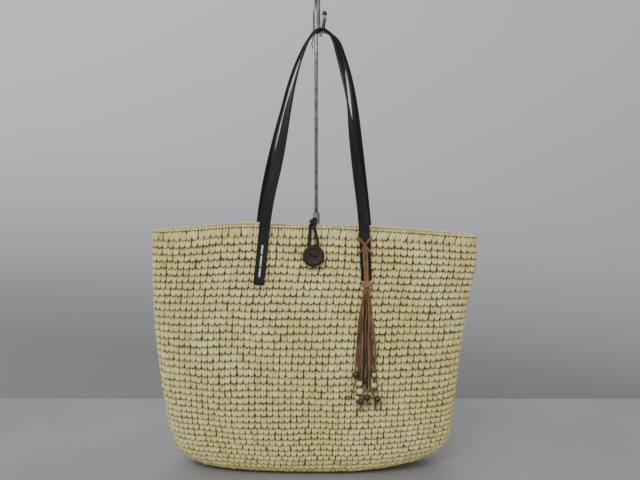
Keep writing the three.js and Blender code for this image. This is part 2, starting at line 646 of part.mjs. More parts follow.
function tassel() {
  const beside = STRAP_WIDTH / 2 + laceRadius + CLEARANCE + 0.2;
  const hitchTop = BAG_HEIGHT - 0.2 * RIGHT_SEWN_LENGTH;
  const hitchBottom = BAG_HEIGHT - 0.5 * RIGHT_SEWN_LENGTH;
  const crossings = [-1, 1].map((side) => tube([
    hitchPoint(side * beside, hitchTop, laceLift + 0.4),
    hitchPoint(side * (beside - 0.4), hitchTop - 1, overStrap - 0.3),
    hitchPoint(side * 0.6 * beside, hitchTop - 4, overStrap + 0.2),
    hitchPoint(0, (hitchTop + hitchBottom) / 2, overStrap + 0.8),
    hitchPoint(-side * 0.6 * beside, hitchBottom + 3, overStrap + 0.2),
    hitchPoint(-side * (beside - 0.4), hitchBottom + 1, overStrap - 0.3),
    hitchPoint(-side * beside, hitchBottom, laceLift + 0.4),
  ], 2 * laceRadius, 4, 5));
  const runs = [-1, 1].map((side) => tube([
    hitchPoint(side * 0.5, (hitchTop + hitchBottom) / 2 + 2, overStrap + 0.8),
    hitchPoint(side * 1.8, hitchBottom - 4, overStrap + 0.2),
    hitchPoint(side * 1.5, knotTop + 8, overStrap),
    onPanel(tasselOffset + side, knotTop - 4, knotLift),
  ], 2 * laceRadius, 4, 12));
  const radius = KNOT_DIAMETER / 2;
  const knot = lathe([
    [0, 0],
    [0.75 * radius, 0],
    [0.98 * radius, 0.2 * KNOT_LENGTH],
    [radius, 0.55 * KNOT_LENGTH],
    [0.85 * radius, 0.85 * KNOT_LENGTH],
    [0.5 * radius, KNOT_LENGTH],
    [0, KNOT_LENGTH],
  ], 12);
  knot.rotateX(Math.PI / 2);
  const seat = onPanel(tasselOffset, knotBottom + KNOT_LENGTH / 2, knotLift);
  knot.translate(seat.x, seat.y, knotBottom);
  const ears = [-1, 1].map((side) => tube([
    onPanel(tasselOffset, knotTop - 5, knotLift),
    onPanel(tasselOffset + 0.9 * side * radius, knotTop - 2.5, knotLift + 0.8),
    onPanel(tasselOffset + 1.6 * side * radius, knotTop - 3.5, knotLift - 0.8),
  ], 2 * laceRadius, 4, 5));
  const laces = LACES.map((lace) => {
    const threaded = lace.route.some((stop) => BEADS[stop]);
    return tube(lacePoints(lace), 2 * laceRadius, 4, threaded ? 7 : 19);
  });
  return fused([knot, ...crossings, ...runs, ...ears, ...laces]);
}

// Bead: turned wood with a hole that clears its lace.
function bead({ across, along }) {
  const bore = laceRadius + BEAD_PLAY;
  const rows = 4;
  const start = Math.asin(bore / (across / 2));
  const outline = Array.from({ length: rows + 1 }, (_, i) => {
    const angle = start + ((Math.PI - 2 * start) * i) / rows;
    return [(across / 2) * Math.sin(angle), (-along / 2) * (Math.cos(angle) / Math.cos(start))];
  });
  const profile = [[bore, -along / 2], ...outline.slice(1, -1), [bore, along / 2], [bore, -along / 2]];
  const geometry = lathe(profile, 10);
  geometry.rotateX(Math.PI / 2);
  return outwards(geometry);
}

// Stand: a foot plate behind the bag, a tube, and a rod bent into the hook that carries the straps.
function standTube() {
  const radius = TUBE_DIAMETER / 2;
  const bore = ROD_DIAMETER / 2 + CLEARANCE;
  const bottom = FOOT_THICKNESS + CLEARANCE;
  const geometry = lathe([
    [0, bottom],
    [radius, bottom],
    [radius, TUBE_HEIGHT],
    [bore, TUBE_HEIGHT],
    [bore, TUBE_HEIGHT - TUBE_BORE_DEPTH],
    [0, TUBE_HEIGHT - TUBE_BORE_DEPTH],
  ], 16);
  geometry.rotateX(Math.PI / 2);
  geometry.translate(POLE_OFFSET, poleBack, 0);
  return geometry;
}

const bearing = STRAP_WIDTH + STRAP_GAP / 2 + 4;
const hookRise = 46;
const hookPoint = (x, y, up) => new THREE.Vector3(x, y, hookHeight + up);
const hookRoute = [
  hookPoint(POLE_OFFSET, poleBack, hookRise - 4),
  hookPoint(POLE_OFFSET, poleBack, hookRise + 6),
  hookPoint(POLE_OFFSET + 0.6, poleBack - 4, hookRise + 18),
  hookPoint(POLE_OFFSET + 2, poleBack - 14, hookRise + 22),
  hookPoint(POLE_OFFSET + 3.4, poleBack - 24, hookRise + 14),
  hookPoint(APEX_OFFSET - 3.4, bearing + 9, 12),
  hookPoint(APEX_OFFSET - 2, bearing + 3, 2),
  hookPoint(APEX_OFFSET - 1.4, bearing - 3, 0),
  hookPoint(APEX_OFFSET, 0, 0),
  hookPoint(APEX_OFFSET + 1.2, 3 - bearing, 0),
  hookPoint(APEX_OFFSET + 2, -bearing - 4, 1.5),
  hookPoint(APEX_OFFSET + 3.2, -bearing - 11, 8),
  hookPoint(APEX_OFFSET + 4, -bearing - 13, 13),
  hookPoint(APEX_OFFSET + 4, -bearing - 13, 17),
];

function standRod() {
  const bottom = TUBE_HEIGHT - TUBE_BORE_DEPTH + CLEARANCE;
  const top = hookHeight + hookRise;
  const radius = ROD_DIAMETER / 2;
  const rod = new THREE.CylinderGeometry(radius, radius, top - bottom, 12);
  rod.rotateX(Math.PI / 2);
  rod.translate(POLE_OFFSET, poleBack, (top + bottom) / 2);
  return fused([rod, tube(hookRoute, HOOK_DIAMETER, 8, 4.5)]);
}

function hookTip() {
  const end = hookRoute[hookRoute.length - 1];
  const radius = TIP_DIAMETER / 2;
  const geometry = lathe([
    [0, 0],
    [0.8 * radius, 0],
    [radius, 0.6 * radius],
    [0.85 * radius, 1.3 * radius],
    [0.45 * radius, 1.75 * radius],
    [0, 1.9 * radius],
  ], 12);
  geometry.rotateX(Math.PI / 2);
  geometry.translate(end.x, end.y, end.z + CLEARANCE);
  return geometry;
}

function standCatch() {
  const x = POLE_OFFSET - ROD_DIAMETER / 2 - CLEARANCE - CATCH_DIAMETER / 2;
  const top = hookHeight + hookRise - 2;
  return tube([
    new THREE.Vector3(x, poleBack, top),
    new THREE.Vector3(x, poleBack, top - 0.5 * CATCH_LENGTH),
    new THREE.Vector3(x - 0.6, poleBack, top - 0.75 * CATCH_LENGTH),
    new THREE.Vector3(x - 2.4, poleBack, top - 0.88 * CATCH_LENGTH),
    new THREE.Vector3(x - 0.4, poleBack, top - CATCH_LENGTH),
  ], CATCH_DIAMETER, 6, 7);
}

function standFoot() {
  const foot = new THREE.BoxGeometry(FOOT_WIDTH, FOOT_DEPTH, FOOT_THICKNESS);
  const front = BAG_DEPTH / 2 + CLEARANCE;
  foot.translate(POLE_OFFSET, front + FOOT_DEPTH / 2, FOOT_THICKNESS / 2);
  return foot;
}

add('basket_body', basketBody(), 0xc9bd92, 0.85);
add('rim_edging', rimEdging(), 0xbfb386, 0.85);
add('strap_front', strap('front'), 0x242122, 0.5);
add('strap_back', strap('back'), 0x242122, 0.5);
placeAtButton(add('button', button(), 0x3b2a26, 0.6));
placeAtButton(add('button_thread', buttonThread(), 0x1c1414, 0.8));
add('closure_loop', closureLoop(), 0x2e1d1b, 0.6);
add('tassel', tassel(), 0x7a4a2e, 0.8);
Object.entries(BEADS).forEach(([name, row]) => {
  const colour = row.dark ? 0x2c2621 : 0xd9cba4;
  add(name, bead(row), colour, row.dark ? 0.35 : 0.6).position.copy(beadPoint(row));
});
add('stand_foot', standFoot(), 0xb9bcc0, 0.35, 1);
add('stand_tube', standTube(), 0xc4c7ca, 0.15, 1);
add('stand_rod', standRod(), 0xc4c7ca, 0.15, 1);
add('stand_catch', standCatch(), 0x5a5d60, 0.3, 1);
add('stand_tip', hookTip(), 0x26282a, 0.6);

export default group;
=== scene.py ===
# Crocheted straw basket bag with leather straps, button, loop and beaded tassel, on a hook stand.
from math import cos, pi, radians, sin

import bmesh
import bpy
import numpy as np
from mathutils import Matrix, Vector


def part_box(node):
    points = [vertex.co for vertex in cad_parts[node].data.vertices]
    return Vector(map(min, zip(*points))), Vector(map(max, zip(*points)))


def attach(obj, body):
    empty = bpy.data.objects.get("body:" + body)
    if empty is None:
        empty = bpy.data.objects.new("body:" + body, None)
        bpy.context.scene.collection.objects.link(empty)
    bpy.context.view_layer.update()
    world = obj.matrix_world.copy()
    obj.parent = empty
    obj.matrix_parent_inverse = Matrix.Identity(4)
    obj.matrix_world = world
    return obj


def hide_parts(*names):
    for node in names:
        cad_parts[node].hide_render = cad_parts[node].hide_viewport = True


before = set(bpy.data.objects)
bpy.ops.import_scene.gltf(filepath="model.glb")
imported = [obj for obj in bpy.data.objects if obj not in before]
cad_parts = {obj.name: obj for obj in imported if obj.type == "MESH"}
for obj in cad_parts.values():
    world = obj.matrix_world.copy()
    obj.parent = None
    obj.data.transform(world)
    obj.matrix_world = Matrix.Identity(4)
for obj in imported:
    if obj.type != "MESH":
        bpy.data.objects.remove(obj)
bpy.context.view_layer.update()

# Camera
# It stands a metre in front of the bag, a little above its rim, and looks slightly down.
CAMERA_PLACE = (0.006, -1.000, 0.449)
CAMERA_TILT = 83
CAMERA_LENS = 40.2

camera = bpy.data.objects.new("camera", bpy.data.cameras.new("camera"))
camera.location = CAMERA_PLACE
camera.rotation_euler = (radians(CAMERA_TILT), 0, 0)
camera.data.lens = CAMERA_LENS
camera.data.clip_start = 0.01
bpy.context.scene.collection.objects.link(camera)
bpy.context.scene.camera = camera


# Table top and studio light
# A pale table top whose far edge lies just behind the stand, a plain grey backdrop beyond it,
# one large soft lamp from the upper left, a weak one from the right and one from behind.
TABLE_SIZE = (2.4, 1.3, 0.03)
TABLE_BACK = 0.27
TABLE_EASING = 0.004
LAMP_AIM = (0, 0, 0.25)
LAMPS = {
    "key": {"place": (-0.45, -1.6, 1.75), "size": 1.1, "power": 25},
    "fill": {"place": (1.5, -1.4, 0.9), "size": 1.4, "power": 4},
    "back": {"place": (0.3, 1.4, 1.5), "size": 1.2, "power": 6},
}

# Brightness of the backdrop by height, from the lowest to the highest that shows. Its bands lean
# a little, and it darkens towards the right.
BACKDROP = ((0.0, 0.20), (0.20, 0.205), (0.255, 0.25), (0.31, 0.34), (0.365, 0.42), (0.42, 0.49),
            (0.475, 0.54), (0.585, 0.59), (0.69, 0.63), (1.0, 0.66))
BACKDROP_SPAN = 0.5
BACKDROP_LEAN = 0.16
BACKDROP_DIMMING = -0.47
BACKDROP_TINT = (0.985, 1, 1.03)


def surface(name, **sockets):
    """A new material with the sockets of its shader set."""
    made = bpy.data.materials.new(name)
    made.use_nodes = True
    shader = made.node_tree.nodes["Principled BSDF"]
    for label, value in sockets.items():
        shader.inputs[label.replace("_", " ")].default_value = value
    return made


def connect(material, target, label, value):
    """Sets one socket of a node to a value, or to what another node gives."""
    sockets = {socket.name: socket for socket in reversed(target.inputs)}
    sockets.update({socket.identifier: socket for socket in target.inputs})
    socket = sockets.get(label) or sockets[label.replace("_", " ")]
    if isinstance(value, bpy.types.Node):
        value = value.outputs[0]
    if isinstance(value, bpy.types.NodeSocket):
        material.node_tree.links.new(value, socket)
    else:
        socket.default_value = value


def node(material, kind, properties=None, **sockets):
    """A new node in a material, with its properties and sockets set."""
    made = material.node_tree.nodes.new("ShaderNode" + kind)
    for label, value in (properties or {}).items():
        setattr(made, label, value)
    for label, value in sockets.items():
        connect(material, made, label, value)
    return made


def dress(material, **sockets):
    """Links nodes into the sockets of a material's shader."""
    shader = material.node_tree.nodes["Principled BSDF"]
    for label, value in sockets.items():
        connect(material, shader, label, value)


def ramp(material, factor, *stops):
    """A colour ramp through places and their colours."""
    made = node(material, "ValToRGB", Fac=factor)
    elements = made.color_ramp.elements
    for element, (place, colour) in zip((elements[0], elements[1]), (stops[0], stops[-1])):
        element.position = place
        element.color = (*colour, 1)
    for place, colour in stops[1:-1]:
        elements.new(place).color = (*colour, 1)
    return made


def grain(material, source, scale, noise_scale, detail=4.0, roughness=0.6):
    """Noise on a piece's own coordinates, stretched by a scale for each direction."""
    if source == "object":
        vector = node(material, "TexCoord").outputs["Object"]
    elif source == "uv":
        vector = node(material, "TexCoord").outputs["UV"]
    else:
        vector = node(material, "Attribute", {"attribute_name": source}).outputs["Vector"]
    placed = node(material, "Mapping", Vector=vector, Scale=scale)
    return node(material, "TexNoise", Vector=placed, Scale=noise_scale, Detail=detail, Roughness=roughness)


def block(size, middle):
    """A box from its size and the place of its middle."""
    mesh = bmesh.new()
    bmesh.ops.create_cube(mesh, size=1)
    bmesh.ops.scale(mesh, vec=size, verts=mesh.verts)
    bmesh.ops.translate(mesh, vec=middle, verts=mesh.verts)
    return mesh


def piece(name, mesh, material):
    """An object of the scene from a finished bmesh."""
    data = bpy.data.meshes.new(name)
    mesh.to_mesh(data)
    mesh.free()
    data.shade_smooth()
    data.materials.append(material)
    made = bpy.data.objects.new(name, data)
    bpy.context.scene.collection.objects.link(made)
    return made


table_finish = surface("pale table", Roughness=0.6)
table_mottle = grain(table_finish, "object", (1, 1, 1), 2.5)
dress(table_finish, Base_Color=ramp(table_finish, table_mottle, (0.3, (0.25, 0.25, 0.25)),
                                    (0.7, (0.315, 0.315, 0.32))))
table_mesh = block(TABLE_SIZE, (0, TABLE_BACK - TABLE_SIZE[1] / 2, -TABLE_SIZE[2] / 2))
bmesh.ops.bevel(table_mesh, geom=table_mesh.edges[:], offset=TABLE_EASING, segments=3, profile=0.5,
                affect="EDGES", material=-1)
table = piece("table_top", table_mesh, table_finish)

for lamp_name, lamp in LAMPS.items():
    light = bpy.data.objects.new(lamp_name, bpy.data.lights.new(lamp_name, "AREA"))
    light.data.size = lamp["size"]
    light.data.energy = lamp["power"]
    light.location = lamp["place"]
    aim = Vector(LAMP_AIM) - light.location
    light.rotation_euler = aim.to_track_quat("-Z", "Y").to_euler()
    bpy.context.scene.collection.objects.link(light)

world = bpy.data.worlds.new("studio")
world.use_nodes = True
direction = node(world, "SeparateXYZ", Vector=node(world, "TexCoord").outputs["Generated"])
leaning = node(world, "Math", {"operation": "MULTIPLY_ADD"}, Value=direction.outputs["X"],
               Value_001=BACKDROP_LEAN, Value_002=direction.outputs["Z"])
height = node(world, "MapRange", Value=leaning, From_Min=-BACKDROP_SPAN, From_Max=BACKDROP_SPAN)
shades = ramp(world, height, *[(place, [brightness * part for part in BACKDROP_TINT])
                               for place, brightness in BACKDROP])
dimming = node(world, "Math", {"operation": "MULTIPLY_ADD"}, Value=direction.outputs["X"],
               Value_001=BACKDROP_DIMMING, Value_002=1.0)
connect(world, world.node_tree.nodes["Background"], "Color", shades)
connect(world, world.node_tree.nodes["Background"], "Strength", dimming)
bpy.context.scene.world = world


# Basket wall
# The ground of the crochet: straw that shows between the stitches, painted near black on the
# outside as painted shade, and the inside of the wall with its rows of bars. It is one body from
# the middle of the base up over the rim.
WIDTH = 0.460
DEPTH = 0.116
HEIGHT = 0.348
WALL = 0.005
CLEARANCE = 0.0003
EDGE_HEIGHT = 0.0036
LEFT_RIM_DROP = 0.006
RIGHT_RIM_DROP = 0.014
RIM_SWEEP = 1.7
RIM_PULL = 0.0045
PULL_PLACE = -0.46
PULL_REACH = 0.26
CORNER_LIFT = 0.007
CORNER_SWEEP = 1.5
CORNER_FADE = 3
FLAT_PATCH = 0.3
PINCH_DEPTH = 0.45
PINCH_REACH = 0.060
PINCH_START = 0.7
RIM_HEIGHT = HEIGHT - EDGE_HEIGHT - CLEARANCE
GROUND_INSET = 0.0034
BAR_RELIEF = 0.0009
RIDGE_MIDDLE = -0.0027
RIDGE_HALF = 0.0019
RIDGE_RISE = 0.0024
STITCHES_ROUND = 112
STITCH_WIDTH = 0.0083
RIM_ROW_HEIGHT = 0.0125

# Sections: level up the basket, half widths left and right and half depth as shares, squareness
SECTIONS = np.array([
    (0.000, 0.640, 0.540, 0.62, 2.2),
    (0.012, 0.745, 0.670, 0.80, 2.3),
    (0.045, 0.835, 0.775, 0.93, 2.4),
    (0.100, 0.890, 0.840, 1.00, 2.5),
    (0.170, 0.925, 0.862, 1.00, 2.5),
    (0.300, 0.955, 0.877, 0.96, 2.5),
    (0.500, 0.992, 0.908, 0.86, 2.4),
    (0.700, 1.008, 0.943, 0.72, 2.4),
    (0.900, 1.010, 0.992, 0.54, 2.6),
    (1.000, 1.000, 0.990, 0.46, 3.0),
])

# Height of a row of stitches, at metres climbed from the middle of the base
ROW_HEIGHTS = [(0.00, 0.0086), (0.05, 0.0078), (0.10, 0.0080), (0.16, 0.0092), (0.20, 0.0102),
               (0.40, 0.0106)]


def curve_through(at, value):
    """Smooth curve through a table's column, which doesn't overshoot between its rows."""
    at = np.array(at, float)
    value = np.array(value, float)
    slope = np.diff(value) / np.diff(at)
    before = np.r_[slope[0], slope]
    after = np.r_[slope, slope[-1]]
    same_way = before * after > 0
    tangent = np.where(same_way, 2 * before * after / np.where(same_way, before + after, 1), 0)

    def curve(place):
        inside = np.clip(place, at[0], at[-1])
        i = np.clip(np.searchsorted(at, inside, side="right") - 1, 0, len(slope) - 1)
        step = at[i + 1] - at[i]
        t = (inside - at[i]) / step
        rise = value[i + 1] - value[i]
        leaving = tangent[i] * step - rise
        arriving = tangent[i + 1] * step - rise
        return value[i] + t * rise + t * (1 - t) * ((1 - t) * leaving - t * arriving)

    return curve


left_share, right_share, depth_share, squareness = (
    curve_through(SECTIONS[:, 0], SECTIONS[:, column]) for column in range(1, 5)
)


def half_width(level, side):
    return np.where(side < 0, left_share(level), right_share(level)) * WIDTH / 2


def smooth_step(value, low, high):
    t = np.clip((value - low) / (high - low), 0, 1)
    return t * t * (3 - 2 * t)


def pinch(x, level):
    """How much the loop draws front and back together round the middle of the mouth."""
    return 1 - PINCH_DEPTH * smooth_step(level, PINCH_START, 1) * np.exp(-((x / PINCH_REACH) ** 2))


def rim_drop(reach):
    """How far the rim falls towards its ends, less what the left strap leg pulls it up."""
    drop = np.where(reach < 0, LEFT_RIM_DROP, RIGHT_RIM_DROP) * np.abs(reach) ** RIM_SWEEP
    return drop - RIM_PULL * np.exp(-(((reach - PULL_PLACE) / PULL_REACH) ** 2))


def corner_lift(reach, level):
    beyond = np.maximum(0, (reach - FLAT_PATCH) / (1 - FLAT_PATCH))
    return CORNER_LIFT * beyond ** CORNER_SWEEP * (1 - level) ** CORNER_FADE


def basket_point(level, angle, inset):
    """Points of the basket at a level, an angle round it and a distance in from its outline."""
    power = 2 / squareness(level)
    across = np.sign(np.cos(angle)) * np.abs(np.cos(angle)) ** power
    along = np.sign(np.sin(angle)) * np.abs(np.sin(angle)) ** power
    x = across * (half_width(level, across) - inset)
    y = along * (depth_share(level) * DEPTH / 2 * pinch(x, level) - inset)
    reach = x / half_width(level, across)
    z = level * RIM_HEIGHT - rim_drop(across) * level ** 2 + corner_lift(reach, level)
    return np.stack([x, y, z], -1)


# The chart of the wall: rows of points from the middle of the base out and up to the rim, each
# shared out evenly round the basket, with the way out of the wall at each
CHART_COLUMNS = 336
ANGLE_STEPS = 1440
base_half_depth = SECTIONS[0, 3] * DEPTH / 2
base_rows = [(0.0, inset) for inset in np.linspace(base_half_depth, 0, 13)[:-1]]
wall_rows = [(level, 0.0) for level in np.r_[np.linspace(0, 0.012, 4)[:-1],
                                              np.linspace(0.012, 0.1, 12)[:-1],
                                              np.linspace(0.1, 1, 84)]]


def even_row(level, inset):
    """Points shared out evenly round one row of the chart, and the row's length."""
    angle = np.linspace(0, 2 * pi, ANGLE_STEPS + 1)
    line = basket_point(np.full_like(angle, level), angle, inset)
    length = np.r_[0, np.cumsum(np.linalg.norm(np.diff(line, axis=0), axis=1))]
    wanted = np.linspace(0, length[-1], CHART_COLUMNS + 1)[:-1]
    return basket_point(np.full_like(wanted, level), np.interp(wanted, length, angle), inset), length[-1]


chart_and_girths = [even_row(*row) for row in base_rows + wall_rows]
chart = np.array([points for points, _ in chart_and_girths])
girths = np.array([girth for _, girth in chart_and_girths])
front_middle = chart[:, 3 * CHART_COLUMNS // 4]
climbs = np.r_[0, np.cumsum(np.linalg.norm(np.diff(front_middle, axis=0), axis=1))]
round_way = np.roll(chart, -1, axis=1) - np.roll(chart, 1, axis=1)
outward_way = np.cross(round_way, np.gradient(chart, axis=0))

# The innermost row is a line with no girth, so it takes the way out of the row round it
outward_way[0] = outward_way[1]
outward_way /= np.linalg.norm(outward_way, axis=2, keepdims=True)


def on_wall(share, climb, out):
    """Points at a share of the girth, metres climbed from the base's middle and metres out."""
    row = np.interp(climb, climbs, np.arange(len(climbs)))
    i = np.clip(row.astype(int), 0, len(climbs) - 2)
    up = (row - i)[..., None]
    column = (share % 1) * CHART_COLUMNS
    j = column.astype(int) % CHART_COLUMNS
    k = (j + 1) % CHART_COLUMNS
    round_by = (column - column.astype(int))[..., None]

    def between(table):
        low = table[i, j] * (1 - round_by) + table[i, k] * round_by
        high = table[i + 1, j] * (1 - round_by) + table[i + 1, k] * round_by
        return low * (1 - up) + high * up

    return between(chart) + between(outward_way) * out[..., None]


row_height = curve_through(*zip(*ROW_HEIGHTS))
row_edges = [0.0]
while row_edges[-1] < climbs[-1] - RIM_ROW_HEIGHT:
    row_edges.append(row_edges[-1] + float(row_height(row_edges[-1])))
row_edges = np.array(row_edges) * (climbs[-1] - RIM_ROW_HEIGHT) / row_edges[-1]
row_edges = np.r_[row_edges, climbs[-1]]
row_count = len(row_edges) - 1


def grid_mesh(columns, rows, place):
    """A grid whose corners are placed by a function of their shares along and up it."""
    mesh = bmesh.new()
    mesh.loops.layers.uv.new("UVMap")
    bmesh.ops.create_grid(mesh, x_segments=columns, y_segments=rows, size=0.5, calc_uvs=True)
    corners = np.array([vertex.co for vertex in mesh.verts]) + 0.5
    for vertex, point in zip(mesh.verts, place(corners[:, 0], corners[:, 1])):
        vertex.co = point
    return mesh


def closed(mesh, merge=1e-6):
    """Merges what meets, closes open ends and turns the faces outwards."""
    bmesh.ops.remove_doubles(mesh, verts=mesh.verts, dist=merge)
    rim = [edge for edge in mesh.edges if edge.is_boundary]
    if rim:
        bmesh.ops.holes_fill(mesh, edges=rim, sides=0)
    bmesh.ops.recalc_face_normals(mesh, faces=mesh.faces)
    return mesh


OUTER_ROWS = 24
RIDGE_ROWS = 8
INNER_ROWS = 4 * row_count
GROUND_ROWS = OUTER_ROWS + RIDGE_ROWS + INNER_ROWS


def wall_points(share, up):
    """Up the outside of the ground, over the rim, then down the inside over the crochet's bars."""
    row = up * GROUND_ROWS
    ridge = np.clip((row - OUTER_ROWS) / RIDGE_ROWS, 0, 1)
    inner_part = np.clip((GROUND_ROWS - row) / INNER_ROWS, 0, 1)
    inner_climb = np.interp(inner_part * row_count, np.arange(row_count + 1), row_edges)
    climb = np.where(row < OUTER_ROWS, row / OUTER_ROWS * climbs[-1], inner_climb)
    row_phase = np.interp(climb, row_edges, np.arange(row_count + 1))
    stagger = share * STITCHES_ROUND + 0.5 * np.floor(row_phase)
    bars = np.abs(np.sin(pi * row_phase)) * (0.5 + 0.5 * np.abs(np.sin(pi * stagger)))
    inside = -WALL - BAR_RELIEF * bars + BAR_RELIEF / 2
    over_rim = RIDGE_MIDDLE + RIDGE_HALF * np.cos(pi * ridge)
    out = np.where(ridge == 0, -GROUND_INSET, np.where(ridge == 1, inside, over_rim))
    points = on_wall(share, climb, out)
    points[:, 2] += RIDGE_RISE * np.sin(pi * ridge)
    return points


ground_finish = surface("straw ground", Roughness=0.75, Specular_IOR_Level=0.25)
ground_fibre = grain(ground_finish, "object", (1, 1, 0.25), 900)
ground_patch = grain(ground_finish, "object", (1, 1, 1), 30)
ground_mix = node(ground_finish, "MixRGB", Fac=0.4, Color1=ground_fibre, Color2=ground_patch)
# Painted shade: the outside of the ground, which shows only between the stitches, is painted near-black
# olive; the inside and the rim keep paler straw.
ground_painted_shade = ramp(ground_finish, ground_mix, (0.3, (0.05, 0.036, 0.012)), (0.7, (0.16, 0.125, 0.05)))
ground_pale = ramp(ground_finish, ground_mix, (0.3, (0.34, 0.26, 0.12)), (0.7, (0.66, 0.56, 0.32)))
ground_height = node(ground_finish, "SeparateXYZ", Vector=node(ground_finish, "TexCoord").outputs["UV"])
ground_side = node(ground_finish, "Math", {"operation": "GREATER_THAN"}, Value=ground_height.outputs["Y"],
                   Value_001=OUTER_ROWS / GROUND_ROWS)
ground_colour = node(ground_finish, "MixRGB", Fac=ground_side, Color1=ground_painted_shade, Color2=ground_pale)
ground_bump = node(ground_finish, "Bump", Height=ground_fibre, Strength=0.5, Distance=0.0005)
dress(ground_finish, Base_Color=ground_colour, Normal=ground_bump)
ground_mesh = grid_mesh(CHART_COLUMNS, GROUND_ROWS, wall_points)
basket_wall = piece("basket_wall", closed(ground_mesh), ground_finish)
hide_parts("basket_body")
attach(basket_wall, "root")


# Crochet stitches
# Twisted paper straw worked round in single crochet: each stitch is two plump legs that meet
# in a rounded foot, tucked under the row above, with holes between the feet that are dark from
# real shadow and the ground's painted shade. The legs carry painted shade in their depths and
# under the row above.
LEG_FOOT = 0.16
LEG_HEAD = 0.28
LEG_WIDTHS = (0.355, 0.225)
FOOT_ROUNDING = 0.27
LEG_THICKNESS = 0.0019
LEG_REACH = 0.57
LEG_TILT = 0.0025
STITCH_INSET = 0.0030
LEG_DEPTHS = (-0.0045, 0.0002)
PLUMPNESS = 0.70
POLE_RADIUS = 0.01
RIM_SLANT = 0.45
RIM_ROW_REACH = 1.1
RIM_ROW_TILT = 0.3
LEAN_PER_ROW = 0.05
# Painted shade on the legs: it grows from the first depth below the wall's face to the second, darkens the
# heads under the row above, and is weaker in the rim row.
SHADE_DEPTH_START = 0.0014
SHADE_DEPTH_END = 0.0052
HEAD_SHADE = 0.75
RIM_ROW_SHADE = 0.35
BASE_EDGE_ROWS = 8

# How uneven the work is: places, tones, slants and the legs' own sizes
PLACE_UNEVEN = 0.04
ROW_UNEVEN = 0.035
ROW_WAVE = 0.0011
TONE_UNEVEN = 0.09
TONE_WAVE = 0.10
SLANT_UNEVEN = 0.11
LEG_UNEVEN = 0.10
LEG_TWIST = 0.35
REACH_UNEVEN = 0.05
PROUD_UNEVEN = 0.00025
LEG_TONE_UNEVEN = 0.06
FIBRE_SPREAD = 60
LEG_FIBRE_STEP = 7

leg_mesh = bmesh.new()
bmesh.ops.create_uvsphere(leg_mesh, u_segments=8, v_segments=5, radius=1)
leg_mesh.verts.index_update()
leg_points = np.array([vertex.co for vertex in leg_mesh.verts])
leg_faces = [[vertex.index for vertex in face.verts] for face in leg_mesh.faces]
leg_mesh.free()
leg_rings = np.hypot(leg_points[:, 0], leg_points[:, 1])
leg_points[:, :2] *= np.where(leg_rings > POLE_RADIUS,
                              np.maximum(leg_rings, POLE_RADIUS) ** (PLUMPNESS - 1), 0)[:, None]


def joined(name, points, fibre, tone, painted_shade, material):
    """One mesh of many like legs: an array of points for each leg, with its straw's fibre and tone and its
    painted shade.
    """
    legs = len(points)
    corners = np.concatenate(leg_faces)
    sizes = np.array([len(face) for face in leg_faces])
    starts = np.r_[0, np.cumsum(sizes)[:-1]]
    shift = np.arange(legs)[:, None]
    data = bpy.data.meshes.new(name)
    data.vertices.add(legs * len(leg_points))
    data.vertices.foreach_set("co", points.ravel())
    data.loops.add(legs * len(corners))
    data.loops.foreach_set("vertex_index", (corners + shift * len(leg_points)).ravel())
    data.polygons.add(legs * len(sizes))
    data.polygons.foreach_set("loop_start", (starts + shift * len(corners)).ravel())
    data.update(calc_edges=True)
    data.validate()
    data.attributes.new("fibre", "FLOAT_VECTOR", "POINT").data.foreach_set("vector", fibre.ravel())
    data.attributes.new("tone", "FLOAT", "POINT").data.foreach_set("value", tone.ravel())
    data.attributes.new("painted_shade", "FLOAT", "POINT").data.foreach_set("value", painted_shade.ravel())
    data.shade_smooth()
    data.materials.append(material)
    made = bpy.data.objects.new(name, data)
    bpy.context.scene.collection.objects.link(made)
    return made


chance = np.random.default_rng(11)
stitch_rows = []
for row in range(row_count):
    middle_climb = (row_edges[row] + row_edges[row + 1]) / 2
    girth = np.interp(middle_climb, climbs, girths)
    count = min(STITCHES_ROUND, 2 * round(girth / STITCH_WIDTH / 2))
    number = np.arange(count)
    stitch_rows.append(np.stack([
        (number + 0.5 + LEAN_PER_ROW * row) / count,
        np.full(count, middle_climb),
        np.full(count, 1 / count),
        np.full(count, row_edges[row + 1] - row_edges[row]),
        np.full(count, row),
    ]))
stitches = np.concatenate(stitch_rows, axis=1)
stitch_share, stitch_climb, stitch_pitch, stitch_height, stitch_row = stitches
stitch_total = len(stitch_share)


def waves(share, climb, seed):
    """Slow unevenness over the wall, between about -1 and 1."""
    turns = np.random.default_rng(seed)
    total = np.zeros_like(share)
    for _ in range(6):
        around, up = turns.integers(2, 15), turns.uniform(8, 60)
        total += np.sin(2 * pi * (around * share + turns.uniform()) + up * climb)
    return total / 3


stitch_share = stitch_share + stitch_pitch * (PLACE_UNEVEN * chance.standard_normal(stitch_total))
stitch_climb = stitch_climb + ROW_WAVE * waves(stitch_share, stitch_climb, 3)
stitch_climb += stitch_height * ROW_UNEVEN * chance.standard_normal(stitch_total)
stitch_tone = 0.5 + TONE_UNEVEN * chance.standard_normal(stitch_total)
stitch_tone += TONE_WAVE * waves(stitch_share, stitch_climb, 5)
stitch_seed = chance.uniform(0, FIBRE_SPREAD, stitch_total)
stitch_slant = SLANT_UNEVEN * chance.standard_normal(stitch_total)
is_rim_row = stitch_row == row_count - 1
towards_right = smooth_step(np.cos(2 * pi * stitch_share), -0.3, 0.5)
stitch_slant += np.where(is_rim_row, RIM_SLANT * towards_right, 0)


